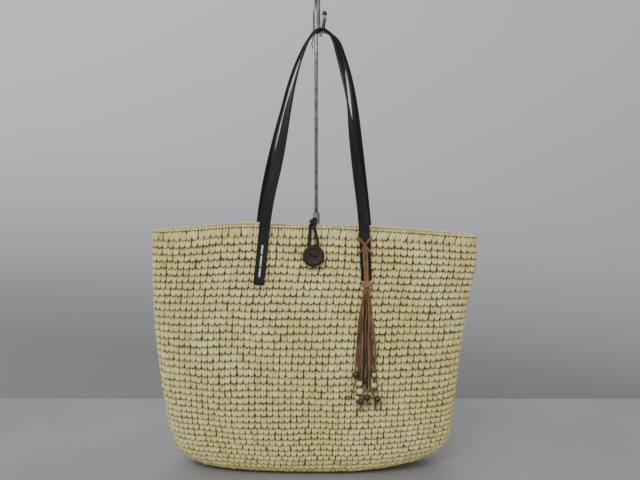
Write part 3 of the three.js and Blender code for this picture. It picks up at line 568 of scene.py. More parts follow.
def leg_cloud(chosen, side):
    """Points, fibre, tone and painted shade of the left or right legs of the chosen stitches."""
    count = chosen.sum()
    across, outward, along = leg_points.T
    up = (along + 1) / 2
    foot_width, head_width = LEG_WIDTHS
    width = foot_width + (head_width - foot_width) * up
    width = width * (1 + LEG_UNEVEN * chance.standard_normal((count, 1)))
    thick = LEG_THICKNESS * (1 + LEG_UNEVEN * chance.standard_normal((count, 1)))
    twist = LEG_TWIST * chance.standard_normal((count, 1)) * along
    across_turned = across * np.cos(twist) - outward * np.sin(twist)
    outward_turned = across * np.sin(twist) + outward * np.cos(twist)
    rounding = 1 - FOOT_ROUNDING * smooth_step(-along, 0.2, 1)
    width = width * rounding
    middle = side * (LEG_FOOT + (LEG_HEAD - LEG_FOOT) * up) * rounding
    rise = along * LEG_REACH * (1 + REACH_UNEVEN * chance.standard_normal((count, 1)))
    rise = rise * np.where(is_rim_row[chosen, None], RIM_ROW_REACH, 1)
    tilt = LEG_TILT * np.where(is_rim_row[chosen, None], RIM_ROW_TILT, 1)
    sideways = middle + across_turned * width + stitch_slant[chosen, None] * rise
    proud = PROUD_UNEVEN * chance.standard_normal((count, 1))
    out = tilt * (0.5 - up) + outward_turned * thick + proud - STITCH_INSET
    out = np.clip(out, *LEG_DEPTHS)
    points = on_wall(
        stitch_share[chosen, None] + sideways * stitch_pitch[chosen, None],
        stitch_climb[chosen, None] + rise * stitch_height[chosen, None],
        out + np.zeros_like(sideways),
    )
    seed = (stitch_seed[chosen] + LEG_FIBRE_STEP * side)[:, None]
    fibre = np.stack([across + seed, outward + 0 * seed, along + 0 * seed], -1)
    tone = (stitch_tone[chosen] + LEG_TONE_UNEVEN * chance.standard_normal(count))[:, None]
    tone = tone + 0 * fibre[..., 0]
    # Painted shade: the deeper a leg lies in the wall and the nearer its head is to the row above, the darker
    # it is painted.
    painted_shade = np.maximum(smooth_step(-out, SHADE_DEPTH_START, SHADE_DEPTH_END), HEAD_SHADE * smooth_step(up, 0.6, 0.95))
    painted_shade = painted_shade * np.where(is_rim_row[chosen, None], RIM_ROW_SHADE, 1)
    return points, fibre, tone, painted_shade


def straw_finish(name):
    """Twisted paper straw: pale cream to faintly green, with lengthwise creases and dull gloss, darkened by
    the legs' painted shade.
    """
    made = surface(name, Roughness=0.6, Specular_IOR_Level=0.35)
    creases = grain(made, "fibre", (2.6, 2.6, 0.5), 2.2, 5.0, 0.65)
    tone = node(made, "Attribute", {"attribute_name": "tone"}).outputs["Fac"]
    patch = grain(made, "object", (1, 1, 1), 14)
    uneven = node(made, "Math", {"operation": "MULTIPLY_ADD"}, Value=creases, Value_001=0.9, Value_002=tone)
    mixed = node(made, "Math", {"operation": "MULTIPLY_ADD"}, Value=patch, Value_001=0.5, Value_002=uneven)
    scaled = node(made, "Math", {"operation": "MULTIPLY"}, Value=mixed, Value_001=0.55)
    colour = ramp(made, scaled, (0.30, (0.44, 0.35, 0.12)), (0.48, (0.69, 0.58, 0.235)),
                  (0.66, (0.81, 0.71, 0.315)), (0.85, (0.91, 0.84, 0.43)))
    # Painted shade: the colour is multiplied towards dark olive by the painted shade attribute.
    painted_shade = node(made, "Attribute", {"attribute_name": "painted_shade"}).outputs["Fac"]
    colour = node(made, "MixRGB", {"blend_type": "MULTIPLY"}, Fac=painted_shade, Color1=colour,
                  Color2=(0.20, 0.16, 0.08, 1))
    bump = node(made, "Bump", Height=creases, Strength=0.55, Distance=0.0006)
    rough = node(made, "MapRange", Value=creases, To_Min=0.5, To_Max=0.75)
    dress(made, Base_Color=colour, Normal=bump, Roughness=rough)
    return made


stitch_finish = straw_finish("crocheted straw")
is_front = (stitch_share % 1) >= 0.5
base_top = np.searchsorted(row_edges, climbs[len(base_rows) + BASE_EDGE_ROWS])
middle_row = (row_count + base_top) // 2
patches = {
    "crochet_base": stitch_row < base_top,
    "crochet_front_lower": is_front & (stitch_row >= base_top) & (stitch_row < middle_row),
    "crochet_front_upper": is_front & (stitch_row >= middle_row),
    "crochet_back_lower": ~is_front & (stitch_row >= base_top) & (stitch_row < middle_row),
    "crochet_back_upper": ~is_front & (stitch_row >= middle_row),
}
for patch_name, chosen in patches.items():
    clouds = [leg_cloud(chosen, side) for side in (-1, 1)]
    cloth = joined(patch_name, *(np.concatenate(parts) for parts in zip(*clouds)), stitch_finish)
    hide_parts("basket_body")
    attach(cloth, "root")


# Rim chain
# The heads of the last round: a chain of links along the top of the wall, each link two legs
# that run out of the one before.
CHAIN_RISE = 0.0019
CHAIN_THICKNESS = 0.0015
CHAIN_SPREAD = 0.0011
CHAIN_REACH = 0.62
CHAIN_FLATTENING = 0.85
CHAIN_CROSSING = 0.2
CHAIN_DIP = 0.0009
CHAIN_UNEVEN = 0.12
CHAIN_TONE = 0.40
CHAIN_TONE_UNEVEN = 0.15
# Painted shade at the ends of each link, where it tucks into its neighbours.
CHAIN_SHADE = 0.5

link_share = (np.arange(STITCHES_ROUND) + 0.5) / STITCHES_ROUND
chain_clouds = []
for side in (-1, 1):
    across, outward, along = leg_points.T
    open_by = (along + 1) / 2
    width = CHAIN_THICKNESS * (1 + CHAIN_UNEVEN * chance.uniform(-1.6, 1, (STITCHES_ROUND, 1)))
    radial = side * CHAIN_SPREAD * (CHAIN_CROSSING + open_by) + across * CHAIN_FLATTENING * width - WALL / 2
    rise = CHAIN_RISE + outward * width - CHAIN_DIP * open_by
    share = link_share[:, None] + along * CHAIN_REACH / STITCHES_ROUND
    chain_points = on_wall(share, np.full_like(share, climbs[-1]), radial)
    chain_points[..., 2] += rise
    seed = chance.uniform(0, FIBRE_SPREAD, (STITCHES_ROUND, 1))
    chain_fibre = np.stack([across + seed, outward + 0 * seed, along + 0 * seed], -1)
    chain_tone = CHAIN_TONE + CHAIN_TONE_UNEVEN * chance.standard_normal((STITCHES_ROUND, 1)) + 0 * share
    # Painted shade darkens both ends of each link.
    chain_painted_shade = CHAIN_SHADE * smooth_step(np.abs(along), 0.6, 1) + 0 * share
    chain_clouds.append((chain_points, chain_fibre, chain_tone, chain_painted_shade))
rim_chain = joined("rim_chain", *(np.concatenate(parts) for parts in zip(*chain_clouds)),
                   stitch_finish)
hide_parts("rim_edging")
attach(rim_chain, "root")


# Straps
# Two flat straps of smooth black leather with both edges folded in and raised, each sewn to the
# outside of its panel. They turn on edge above the rim and lie flat side by side over the hook.
STRAP_THICKNESS = 0.0025
STRAP_RISE = 0.266
STRAP_GAP = 0.0016
STRAP_WIDTH = 0.015
APEX_OFFSET = 0.008
SEWN_LENGTHS = {"left": 0.079, "right": 0.0735}
SEWN_STOPS = (1, 0.75, 0.5, 0.25, 0.08)
STRAP_EASE = 0.08
STRAP_ROWS = 200
STRAP_END_EASE = 0.9
PATH_STEP = 1e-4

# Sideways places where each strap meets the rim and where its ends stop
STRAP_ENDS = {
    "front": {"left": (-0.070, -0.078), "right": (0.0665, 0.0696)},
    "back": {"left": (-0.078, -0.084), "right": (0.072, 0.076)},
}

# Rise as a share of the strap's height, reach of the left and right legs as shares, their turns
STRAP_RUNS = {
    "front": np.array([
        (0.00, 1.000, 1.000, 88, 70), (0.15, 0.915, 0.920, 88, 65), (0.30, 0.795, 0.820, 75, 52),
        (0.45, 0.680, 0.725, 50, 35), (0.60, 0.578, 0.630, 30, 8), (0.75, 0.447, 0.520, 8, -12),
        (0.87, 0.325, 0.415, 2, -28), (0.95, 0.215, 0.285, 0, -14), (0.987, 0.120, 0.140, 0, 0),
        (1.00, 0.000, 0.000, 0, 0),
    ]),
    "back": np.array([
        (0.00, 1.000, 1.000, 80, 80), (0.15, 0.940, 0.935, 55, 70), (0.30, 0.865, 0.865, 30, 60),
        (0.45, 0.768, 0.800, 12, 45), (0.60, 0.640, 0.735, 8, 28), (0.75, 0.505, 0.630, 6, 16),
        (0.87, 0.357, 0.485, 4, 12), (0.95, 0.222, 0.350, 2, 6), (0.987, 0.120, 0.170, 0, 0),
        (1.00, 0.000, 0.000, 0, 0),
    ]),
}

# Outline of the leather across the strap: sideways and out, in millimetres
STRAP_OUTLINE = np.array([
    (-7.1, -1.25), (0.0, -1.2), (7.1, -1.25), (7.5, -0.85), (7.5, 0.7), (7.15, 1.15), (6.2, 1.3),
    (5.3, 1.12), (4.9, 0.62), (4.3, 0.6), (0.0, 0.82), (-4.3, 0.6), (-4.9, 0.62), (-5.3, 1.12),
    (-6.2, 1.3), (-7.15, 1.15), (-7.5, 0.7), (-7.5, -0.85),
]) / 1000


def panel_depth(x, z):
    """How far the outside of the basket stands from its middle plane."""
    level = z / RIM_HEIGHT
    for _ in range(6):
        held = np.clip(level, 0, 1)
        level = (z + rim_drop(x / half_width(held, x)) * held ** 2) / RIM_HEIGHT
    level = np.clip(level, 0, 1)
    square = squareness(level)
    across = np.minimum(np.abs(x) / half_width(level, x), 1)
    return depth_share(level) * DEPTH / 2 * (1 - across ** square) ** (1 / square) * pinch(x, level)


def panel_normal(x, z, reach=0.003):
    across = (panel_depth(x + reach, z) - panel_depth(x - reach, z)) / (2 * reach)
    upward = (panel_depth(x, z + reach) - panel_depth(x, z - reach)) / (2 * reach)
    return unit(np.stack([-across, -np.ones_like(across), -upward], -1))


def unit(vectors):
    return vectors / np.linalg.norm(vectors, axis=-1, keepdims=True)


def on_panel(x, z, lift):
    """A point in front of the front panel."""
    return (x, -(float(panel_depth(x, z)) + lift), z)


def path_through(points, places):
    """Points of a smooth path at places from 0 to 1, with equal shares for its stretches."""
    stops = np.array(points, float)
    stops = np.vstack([2 * stops[0] - stops[1], stops, 2 * stops[-1] - stops[-2]])
    stretches = len(points) - 1
    place = np.clip(places, 0, 1) * stretches
    i = np.minimum(place.astype(int), stretches - 1)
    t = (place - i)[:, None]
    a, b, c, d = (stops[i + step] for step in range(4))
    ab, bc, cd = (np.linalg.norm(step, axis=1, keepdims=True) ** 0.5 for step in (b - a, c - b, d - c))
    leaving = ((b - a) / ab - (c - a) / (ab + bc) + (c - b) / bc) * bc
    arriving = ((c - b) / bc - (d - b) / (bc + cd) + (d - c) / cd) * bc
    start = (1 + 2 * t) * (1 - t) ** 2 * b + t * (1 - t) ** 2 * leaving
    return start + t * t * (3 - 2 * t) * c + t * t * (t - 1) * arriving


def strap_frame(which, places):
    """Middle, width direction and outward direction of a strap, for the front side."""
    run = STRAP_RUNS[which]
    lift = CLEARANCE + STRAP_THICKNESS / 2
    apex_depth = (STRAP_WIDTH + STRAP_GAP) / 2
    legs = {}
    for column, leg in ((1, "left"), (2, "right")):
        rim, end = STRAP_ENDS[which][leg]
        sewn = [on_panel(rim + (end - rim) * share, HEIGHT - share * SEWN_LENGTHS[leg], lift)
                for share in SEWN_STOPS]
        rim_depth = float(panel_depth(rim, RIM_HEIGHT)) + lift
        free = [(APEX_OFFSET + (rim - APEX_OFFSET) * row[column],
                 -(rim_depth + (apex_depth - rim_depth) * row[0]),
                 HEIGHT + row[0] * STRAP_RISE) for row in run[:-1]]
        legs[leg] = sewn + free
    apex = (APEX_OFFSET, -apex_depth, HEIGHT + STRAP_RISE)
    middles = legs["left"] + [apex] + legs["right"][::-1]
    middle = path_through(middles, places)
    ahead = path_through(middles, np.clip(places + PATH_STEP, 0, 1))
    behind = path_through(middles, np.clip(places - PATH_STEP, 0, 1))
    tangent = unit(ahead - behind)
    rise = (middle[:, 2] - HEIGHT) / STRAP_RISE
    turns = [np.radians(curve_through(run[:, 0], run[:, column])(rise)) for column in (3, 4)]
    turn = np.where(places < 0.5, *turns)[:, None]
    depthwise = unit(np.array([0, 1, 0]) - tangent * tangent[:, 1:2])
    width = np.cos(turn) * depthwise + np.sin(turn) * np.cross(tangent, depthwise)
    sewn_width = np.cross(panel_normal(middle[:, 0], middle[:, 2]), tangent)
    sewn_part = 1 - smooth_step(rise, 0, STRAP_EASE)[:, None]
    width = unit(width + (sewn_width - width) * sewn_part)
    return middle, width, np.cross(tangent, width)


def strap_mesh(which):
    """The leather's outline carried along the strap, with its cut ends eased."""
    sides = len(STRAP_OUTLINE)
    mirror = np.array([1, 1 if which == "front" else -1, 1])
    places = np.linspace(0, 1, STRAP_ROWS + 1)
    middle, width, out = strap_frame(which, places)
    eased = np.ones(STRAP_ROWS + 1)
    eased[[0, -1]] = STRAP_END_EASE

    def place(share, up):
        corner = STRAP_OUTLINE[np.round(share * sides).astype(int) % sides]
        row = np.round(up * STRAP_ROWS).astype(int)
        across = width[row] * corner[:, :1] * eased[row, None]
        through = out[row] * corner[:, 1:] * eased[row, None]
        return (middle[row] + across + through) * mirror

    return closed(grid_mesh(sides, STRAP_ROWS, place))


leather_finish = surface("black strap leather", Roughness=0.42, Specular_IOR_Level=0.28)
leather_pores = grain(leather_finish, "object", (1, 1, 1), 1500, 3.0)
leather_creases = grain(leather_finish, "uv", (3, 90, 1), 6, 5.0)
leather_colour = ramp(leather_finish, leather_creases, (0.25, (0.006, 0.0052, 0.0055)),
                      (0.6, (0.0125, 0.011, 0.0115)), (0.85, (0.026, 0.023, 0.024)))
leather_height = node(leather_finish, "MixRGB", Fac=0.4, Color1=leather_pores, Color2=leather_creases)
leather_bump = node(leather_finish, "Bump", Height=leather_height, Strength=0.35, Distance=0.0003)
leather_rough = node(leather_finish, "MapRange", Value=leather_creases, To_Min=0.34, To_Max=0.56)
dress(leather_finish, Base_Color=leather_colour, Normal=leather_bump, Roughness=leather_rough)
for which in ("front", "back"):
    strap = piece(f"leather_strap_{which}", strap_mesh(which), leather_finish)
    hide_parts(f"strap_{which}")
    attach(strap, "root")


# Strap thread
# Three long running stitches of thick cream thread that hold the left end of the front strap.
# Each comes up through the leather, lies along the middle of the strap and goes down again.
THREAD_RADIUS = 0.0013
THREAD_STITCHES = ((0.318, 0.485), (0.499, 0.698), (0.712, 0.872))
THREAD_LIFTS = (0.0016, 0.0034, 0.0038, 0.0038, 0.0034, 0.0016)
THREAD_FLATTENING = 0.75
THREAD_ROWS = 14
THREAD_SIDES = 10


def path_frame(points, rows, side=(1, 0, 0)):
    """Even points along a smooth path, with two directions across it that don't twist."""
    fine = np.linspace(0, 1, 24 * len(points))
    line = path_through(points, fine)
    length = np.r_[0, np.cumsum(np.linalg.norm(np.diff(line, axis=0), axis=1))]
    middle = path_through(points, np.interp(np.linspace(0, length[-1], rows + 1), length, fine))
    ahead = unit(np.gradient(middle, axis=0))
    across = [unit(np.array(side, float) - ahead[0] * ahead[0].dot(side))]
    for way in ahead[1:]:
        across.append(unit(across[-1] - way * way.dot(across[-1])))
    across = np.array(across)
    return middle, across, np.cross(ahead, across)


def cord_mesh(points, rows, outline, side=(1, 0, 0), twist=0.0, taper=0.25):
    """An outline of sideways and outward distances carried along a path, closed at its ends."""
    middle, across, out = path_frame(points, rows, side)
    turn = twist * np.linspace(0, 1, rows + 1)[:, None]
    turned = across * np.cos(turn) + out * np.sin(turn)
    risen = out * np.cos(turn) - across * np.sin(turn)
    sides = len(outline)
    full = np.ones(rows + 1)
    full[[0, -1]] = taper

    def place(share, up):
        row = np.round(up * rows).astype(int)
        corner = outline[np.round(share * sides).astype(int) % sides] * full[row, None]
        return middle[row] + turned[row] * corner[:, :1] + risen[row] * corner[:, 1:]

    return closed(grid_mesh(sides, rows, place))


def ring_outline(radius, sides, flat=1.0):
    angle = np.arange(sides) / sides * 2 * pi
    return np.stack([radius * np.cos(angle), flat * radius * np.sin(angle)], 1)


def merged(meshes):
    """Several finished meshes as one."""
    whole = bmesh.new()
    for part in meshes:
        data = bpy.data.meshes.new("part")
        part.to_mesh(data)
        part.free()
        whole.from_mesh(data)
        bpy.data.meshes.remove(data)
    return whole


thread_finish = surface("cream sewing thread", Roughness=0.7, Sheen_Weight=0.3)
thread_twist = grain(thread_finish, "uv", (2, 40, 1), 3, 3.0)
dress(thread_finish,
      Base_Color=ramp(thread_finish, thread_twist, (0.3, (0.55, 0.50, 0.40)), (0.7, (0.84, 0.80, 0.70))),
      Normal=node(thread_finish, "Bump", Height=thread_twist, Strength=0.5, Distance=0.0004))
rim_x, end_x = STRAP_ENDS["front"]["left"]
thread_meshes = []
for top, bottom in THREAD_STITCHES:
    shares = np.linspace(top, bottom, len(THREAD_LIFTS))
    line = [on_panel(rim_x + (end_x - rim_x) * share, HEIGHT - share * SEWN_LENGTHS["left"], lift)
            for share, lift in zip(shares, THREAD_LIFTS)]
    thread_meshes.append(cord_mesh(line, THREAD_ROWS,
                                   ring_outline(THREAD_RADIUS, THREAD_SIDES, THREAD_FLATTENING)))
strap_thread = piece("strap_thread", merged(thread_meshes), thread_finish)
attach(strap_thread, "root")


# Button
# A turned disc of dark stained wood, dished on the front, with two holes, sewn so that it
# stands off the panel on a wound shank and the loop fits under it.
BUTTON_PLACE = (-0.003, 0.3055)
BUTTON_RADIUS = 0.015
BUTTON_THICKNESS = 0.005
BUTTON_LIFT = 0.0063
BUTTON_DISH = 0.0011
BUTTON_TURN = radians(-17)
HOLE_SPACING = 0.006
HOLE_RADIUS = 0.0012
DRILL_LENGTH = 0.02
BUTTON_SEGMENTS = 72
LEAN_REACH = 0.005


def turned(outline, segments):
    """A shape turned on a lathe about Z from its outline of radius and height."""
    mesh = bmesh.new()
    corners = [mesh.verts.new((radius, 0, height)) for radius, height in outline]
    edges = [mesh.edges.new(pair) for pair in zip(corners, corners[1:])]
    bmesh.ops.spin(mesh, geom=corners + edges, cent=(0, 0, 0), axis=(0, 0, 1), angle=2 * pi,
                   steps=segments, use_merge=True, use_duplicate=False)
    return closed(mesh)


def cut(target, cutters):
    """Takes the cutters' shapes out of a piece and applies it."""
    for cutter in cutters:
        hole = target.modifiers.new("hole", "BOOLEAN")
        hole.operation = "DIFFERENCE"
        hole.solver = "EXACT"
        hole.object = cutter
    ready = bpy.data.meshes.new_from_object(target.evaluated_get(bpy.context.evaluated_depsgraph_get()))
    target.modifiers.clear()
    target.data = ready
    for cutter in cutters:
        bpy.data.objects.remove(cutter)


panel_lean = np.arctan2(float(panel_depth(BUTTON_PLACE[0], BUTTON_PLACE[1] - LEAN_REACH)
                              - panel_depth(BUTTON_PLACE[0], BUTTON_PLACE[1] + LEAN_REACH)), 2 * LEAN_REACH)
button_spot = (Matrix.Translation(on_panel(*BUTTON_PLACE, 0)) @ Matrix.Rotation(-panel_lean, 4, "X")
               @ Matrix.Rotation(pi / 2, 4, "X") @ Matrix.Rotation(BUTTON_TURN, 4, "Z"))
button_top = BUTTON_LIFT + BUTTON_THICKNESS
button_mesh = turned([
    (0, button_top - BUTTON_DISH), (0.50 * BUTTON_RADIUS, button_top - BUTTON_DISH),
    (0.60 * BUTTON_RADIUS, button_top - 0.85 * BUTTON_DISH),
    (0.70 * BUTTON_RADIUS, button_top - 0.3 * BUTTON_DISH),
    (0.78 * BUTTON_RADIUS, button_top), (0.88 * BUTTON_RADIUS, button_top - 0.0002),
    (0.96 * BUTTON_RADIUS, button_top - 0.0009), (BUTTON_RADIUS, button_top - 0.0020),
    (BUTTON_RADIUS, BUTTON_LIFT + 0.0016), (0.96 * BUTTON_RADIUS, BUTTON_LIFT + 0.0005),
    (0.88 * BUTTON_RADIUS, BUTTON_LIFT), (0, BUTTON_LIFT),
], BUTTON_SEGMENTS)
button_finish = surface("dark stained wood", Roughness=0.5, Specular_IOR_Level=0.25)
button_rings = grain(button_finish, "object", (1, 1, 6), 160, 5.0)
button_blotch = grain(button_finish, "object", (1, 1, 1), 90)
button_colour = ramp(button_finish, node(button_finish, "MixRGB", Fac=0.5, Color1=button_rings,
                                         Color2=button_blotch),
                     (0.3, (0.014, 0.006, 0.004)), (0.5, (0.030, 0.013, 0.009)), (0.7, (0.052, 0.025, 0.018)))
button_bump = node(button_finish, "Bump", Height=button_rings, Strength=0.25, Distance=0.0003)
button_rough = node(button_finish, "MapRange", Value=button_blotch, To_Min=0.42, To_Max=0.62)
dress(button_finish, Base_Color=button_colour, Normal=button_bump, Roughness=button_rough)
button = piece("wooden_button", button_mesh, button_finish)
drills = []
for side in (-1, 1):
    drill_mesh = bmesh.new()
    bmesh.ops.create_cone(drill_mesh, cap_ends=True, segments=20, radius1=HOLE_RADIUS, radius2=HOLE_RADIUS,
                          depth=DRILL_LENGTH)
    bmesh.ops.translate(drill_mesh, verts=drill_mesh.verts, vec=(side * HOLE_SPACING / 2, 0, button_top))
    drills.append(piece(f"drill_{side}", drill_mesh, button_finish))
cut(button, drills)
button.data.transform(button_spot)
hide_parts("button")
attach(button, "root")


# Button thread
# Dark waxed thread: two strands over the dish from hole to hole, and the wound shank behind.
STRAND_RADIUS = 0.00055
SHANK_RADIUS = 0.002
SHANK_CORE = 0.0013
SHANK_CORD = 0.0006
SHANK_TURNS = 5
TURN_STEPS = 8

waxed_finish = surface("dark waxed thread", Roughness=0.55)
waxed_twist = grain(waxed_finish, "uv", (2, 60, 1), 3, 3.0)
dress(waxed_finish,
      Base_Color=ramp(waxed_finish, waxed_twist, (0.3, (0.006, 0.004, 0.004)), (0.7, (0.03, 0.02, 0.018))),
      Normal=node(waxed_finish, "Bump", Height=waxed_twist, Strength=0.4, Distance=0.0002))
dish_top = button_top - BUTTON_DISH
strands = []
for offset in (-STRAND_RADIUS, STRAND_RADIUS):
    half = HOLE_SPACING / 2
    strands.append(cord_mesh([
        (-half, offset, BUTTON_LIFT - 0.0004), (-half, offset, dish_top - 0.0008),
        (-0.8 * half, offset, dish_top + 0.0006), (0, offset, dish_top + 0.0008),
        (0.8 * half, offset, dish_top + 0.0006), (half, offset, dish_top - 0.0008),
        (half, offset, BUTTON_LIFT - 0.0004),
    ], 24, ring_outline(STRAND_RADIUS, 8), side=(0, 1, 0)))
shank_points = []
for i in range(TURN_STEPS * SHANK_TURNS + 1):
    angle = i / TURN_STEPS * 2 * pi
    height = 0.0012 + (BUTTON_LIFT - 0.0022) * i / (TURN_STEPS * SHANK_TURNS)
    radius = SHANK_RADIUS - 0.0005
    shank_points.append((radius * cos(angle), radius * sin(angle), height))
shank = cord_mesh(shank_points, 120, ring_outline(SHANK_CORD, 6), side=(0, 0, 1))
shank_core = turned([(0, 0.0009), (SHANK_CORE, 0.0009), (SHANK_CORE, BUTTON_LIFT - 0.0003),
                     (0, BUTTON_LIFT - 0.0003)], 12)
thread_piece = piece("button_sewing", merged(strands + [shank, shank_core]), waxed_finish)
thread_piece.data.transform(button_spot)
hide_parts("button_thread")
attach(thread_piece, "root")


# Closure loop
# A round cord of dark brown leather. Its ends go down inside the back panel, it is knotted over
# the mouth, and the loop hangs down the front and round the button's shank.
LOOP_RADIUS = 0.0021
LOOP_TAIL = 0.026
LOOP_LIFT = 0.0007
KNOT_SIZE = 0.00135
KNOT_CORD = 0.0021
LOOP_SIDES = 16
KNOT_STEPS = 36

loop_x = BUTTON_PLACE[0]
loop_lift = LOOP_LIFT + LOOP_RADIUS
shank_round = SHANK_RADIUS + CLEARANCE + LOOP_RADIUS
button_z = BUTTON_PLACE[1]
mouth_depth = float(panel_depth(loop_x, RIM_HEIGHT))
loop_top = HEIGHT + CLEARANCE + LOOP_RADIUS
knot_heart = Vector((loop_x + 0.0003, -(mouth_depth - WALL / 2), loop_top + 0.0035))
down_left = [(-0.0034, HEIGHT + 0.003), (-0.0046, HEIGHT - 0.003), (-0.0050, HEIGHT - 0.010),
             (-0.0055, HEIGHT - 0.020), (-0.0058, button_z + 0.014), (-shank_round, button_z),
             (-0.7 * shank_round, button_z - 0.7 * shank_round), (0, button_z - shank_round)]
up_right = [(0.7 * shank_round, button_z - 0.7 * shank_round), (shank_round, button_z),
            (0.0062, button_z + 0.014), (0.0052, HEIGHT - 0.020), (0.0030, HEIGHT - 0.010),
            (0.0010, HEIGHT - 0.001)]
loop_line = [tuple(knot_heart)]
loop_line += [on_panel(loop_x + side, z, loop_lift) for side, z in down_left + up_right]
loop_line += [tuple(knot_heart + Vector((0.001, 0, 0.001)))]
loop_meshes = [cord_mesh(loop_line, 150, ring_outline(LOOP_RADIUS, LOOP_SIDES))]
inside_back = mouth_depth - WALL - CLEARANCE - LOOP_RADIUS
for side in (-1, 1):
    tail_x = loop_x + side * (LOOP_RADIUS + CLEARANCE / 2)
    loop_meshes.append(cord_mesh([
        tuple(knot_heart), (tail_x, -0.4 * mouth_depth, loop_top + 0.001),
        (tail_x, inside_back - 0.003, loop_top - 0.004),
        (tail_x, inside_back, RIM_HEIGHT - 0.008), (tail_x, inside_back, RIM_HEIGHT - LOOP_TAIL),
    ], 40, ring_outline(LOOP_RADIUS, LOOP_SIDES)))
knot_turn = Matrix.Rotation(radians(62), 3, "X") @ Matrix.Rotation(radians(25), 3, "Z")
knot_line = []
for i in range(KNOT_STEPS + 1):
    t = i / KNOT_STEPS * 2 * pi
    bend = Vector((sin(t) + 2 * sin(2 * t), cos(t) - 2 * cos(2 * t), -sin(3 * t)))
    knot_line.append(tuple(knot_heart + knot_turn @ (bend * KNOT_SIZE)))
loop_meshes.append(cord_mesh(knot_line, 140, ring_outline(KNOT_CORD, LOOP_SIDES), taper=1.0))
loop_finish = surface("dark brown leather cord", Roughness=0.48, Specular_IOR_Level=0.28)
loop_creases = grain(loop_finish, "uv", (6, 30, 1), 4, 5.0)
loop_colour = ramp(loop_finish, loop_creases, (0.3, (0.016, 0.007, 0.0065)), (0.55, (0.026, 0.012, 0.011)),
                   (0.8, (0.044, 0.021, 0.019)))
loop_bump = node(loop_finish, "Bump", Height=loop_creases, Strength=0.4, Distance=0.0004)
dress(loop_finish, Base_Color=loop_colour, Normal=loop_bump)
loop_piece = piece("closure_cord", merged(loop_meshes), loop_finish)
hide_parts("closure_loop")
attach(loop_piece, "root")


# Tassel
# Strips of brown suede cut about three millimetres wide, hitched in a cross round the right end
# of the front strap, wound into a knot below it and left to hang in front of the panel.
LACE_WIDTH = 0.0015
LACE_THICKNESS = 0.00075
LACE_CORE = 0.002 * 0.5 ** 0.5
LACE_STEP = 0.016
LACE_BOW = 1.6
LACE_TWIST = 140
LACE_ROWS_PER_POINT = 5
WOUND_TURNS = 4
TASSEL_X = STRAP_ENDS["front"]["right"][1]
KNOT_DIAMETER = 0.0092
KNOT_LENGTH = 0.016
KNOT_TOP = HEIGHT - SEWN_LENGTHS["right"] - 0.0025
KNOT_BOTTOM = KNOT_TOP - KNOT_LENGTH
BEAD_LIFT = 0.0004

# Beads: place sideways and below the knot, size across and along the lace, in millimetres
BEADS = {
    "bead_dark_1": (-15.2, 107, 9.3, 8.6), "bead_dark_2": (-7.6, 143.8, 8.2, 7.6),
    "bead_dark_3": (0.3, 138.4, 9.6, 8.8), "bead_dark_4": (14.8, 140.8, 9.3, 8.6),
    "bead_dark_5": (-2.1, 113.5, 6.5, 12), "bead_cream_1": (-10, 118.8, 8, 7.4),
    "bead_cream_2": (-9.5, 129.2, 9.6, 8.8), "bead_cream_3": (-13.2, 138.4, 6, 5.4),
    "bead_cream_4": (9.8, 121.6, 8, 7.4), "bead_cream_5": (10.1, 107.7, 5.5, 5),
}

# Laces: where each leaves the knot, then places sideways, below the knot and off the panel, in
# millimetres, or the beads that it passes through
LACES = [
    (-3.0, [(-8.5, 30, 0), (-13.4, 75, 0), "bead_dark_1", (-18, 124, 4), (-22.5, 138, 2), (-30, 137, 1.5)]),
    (-2.2, [(-6.5, 30, 0), (-8.8, 100, 0), "bead_cream_1", "bead_cream_2", "bead_cream_3",
            (-14.6, 147, 1.5)]),
    (-1.6, [(-4.6, 35, 0), (-6.6, 126, 0), "bead_dark_2", (-10, 157, 1.5)]),
    (0.2, [(-1.2, 40, 0), (-2.1, 92, 0), "bead_dark_5", "bead_dark_3", (0.6, 150, 3)]),
    (2.4, [(5.4, 35, 0), (9.2, 90, 0), "bead_cream_5", "bead_cream_4", (9.2, 131, 3)]),
    (3.0, [(6.8, 30, 0), (12.4, 85, 0), (14.2, 122, 0), "bead_dark_4", (15, 151, 3)]),
    (1.8, [(2.6, 60, 0), (5.2, 125, 0), (13.2, 158, 0)]),
    (-3.4, [(-10, 36, 0), (-11.4, 98, 0)]),
    (-1.2, [(-3.2, 40, 0), (-5, 122, 0)]),
    (-0.6, [(-2.2, 40, 0), (-3.4, 108, 0)]),
    (0.6, [(0.8, 40, 0), (1.6, 129, 0)]),
    (1.4, [(3.4, 40, 0), (4.4, 118, 0)]),
    (2.0, [(4.6, 36, 0), (7.2, 112, 0)]),
]
lace_lift = 2 * CLEARANCE + LACE_CORE
knot_middle = KNOT_BOTTOM + KNOT_LENGTH / 2
knot_lift = (CLEARANCE + KNOT_DIAMETER / 2 + float(panel_depth(TASSEL_X, KNOT_BOTTOM))
             - float(panel_depth(TASSEL_X, knot_middle)))


def hanging(side, drop, lift):
    """A point of a hanging lace, from millimetres sideways, below the knot and off the panel."""
    return on_panel(TASSEL_X + side / 1000, KNOT_BOTTOM - drop / 1000, lace_lift + lift / 1000)


def bead_middle(name):
    side, drop, across, _ = BEADS[name]
    lift = lace_lift + LACE_CORE + BEAD_LIFT + across / 2000
    return on_panel(TASSEL_X + side / 1000, KNOT_BOTTOM - drop / 1000, lift)


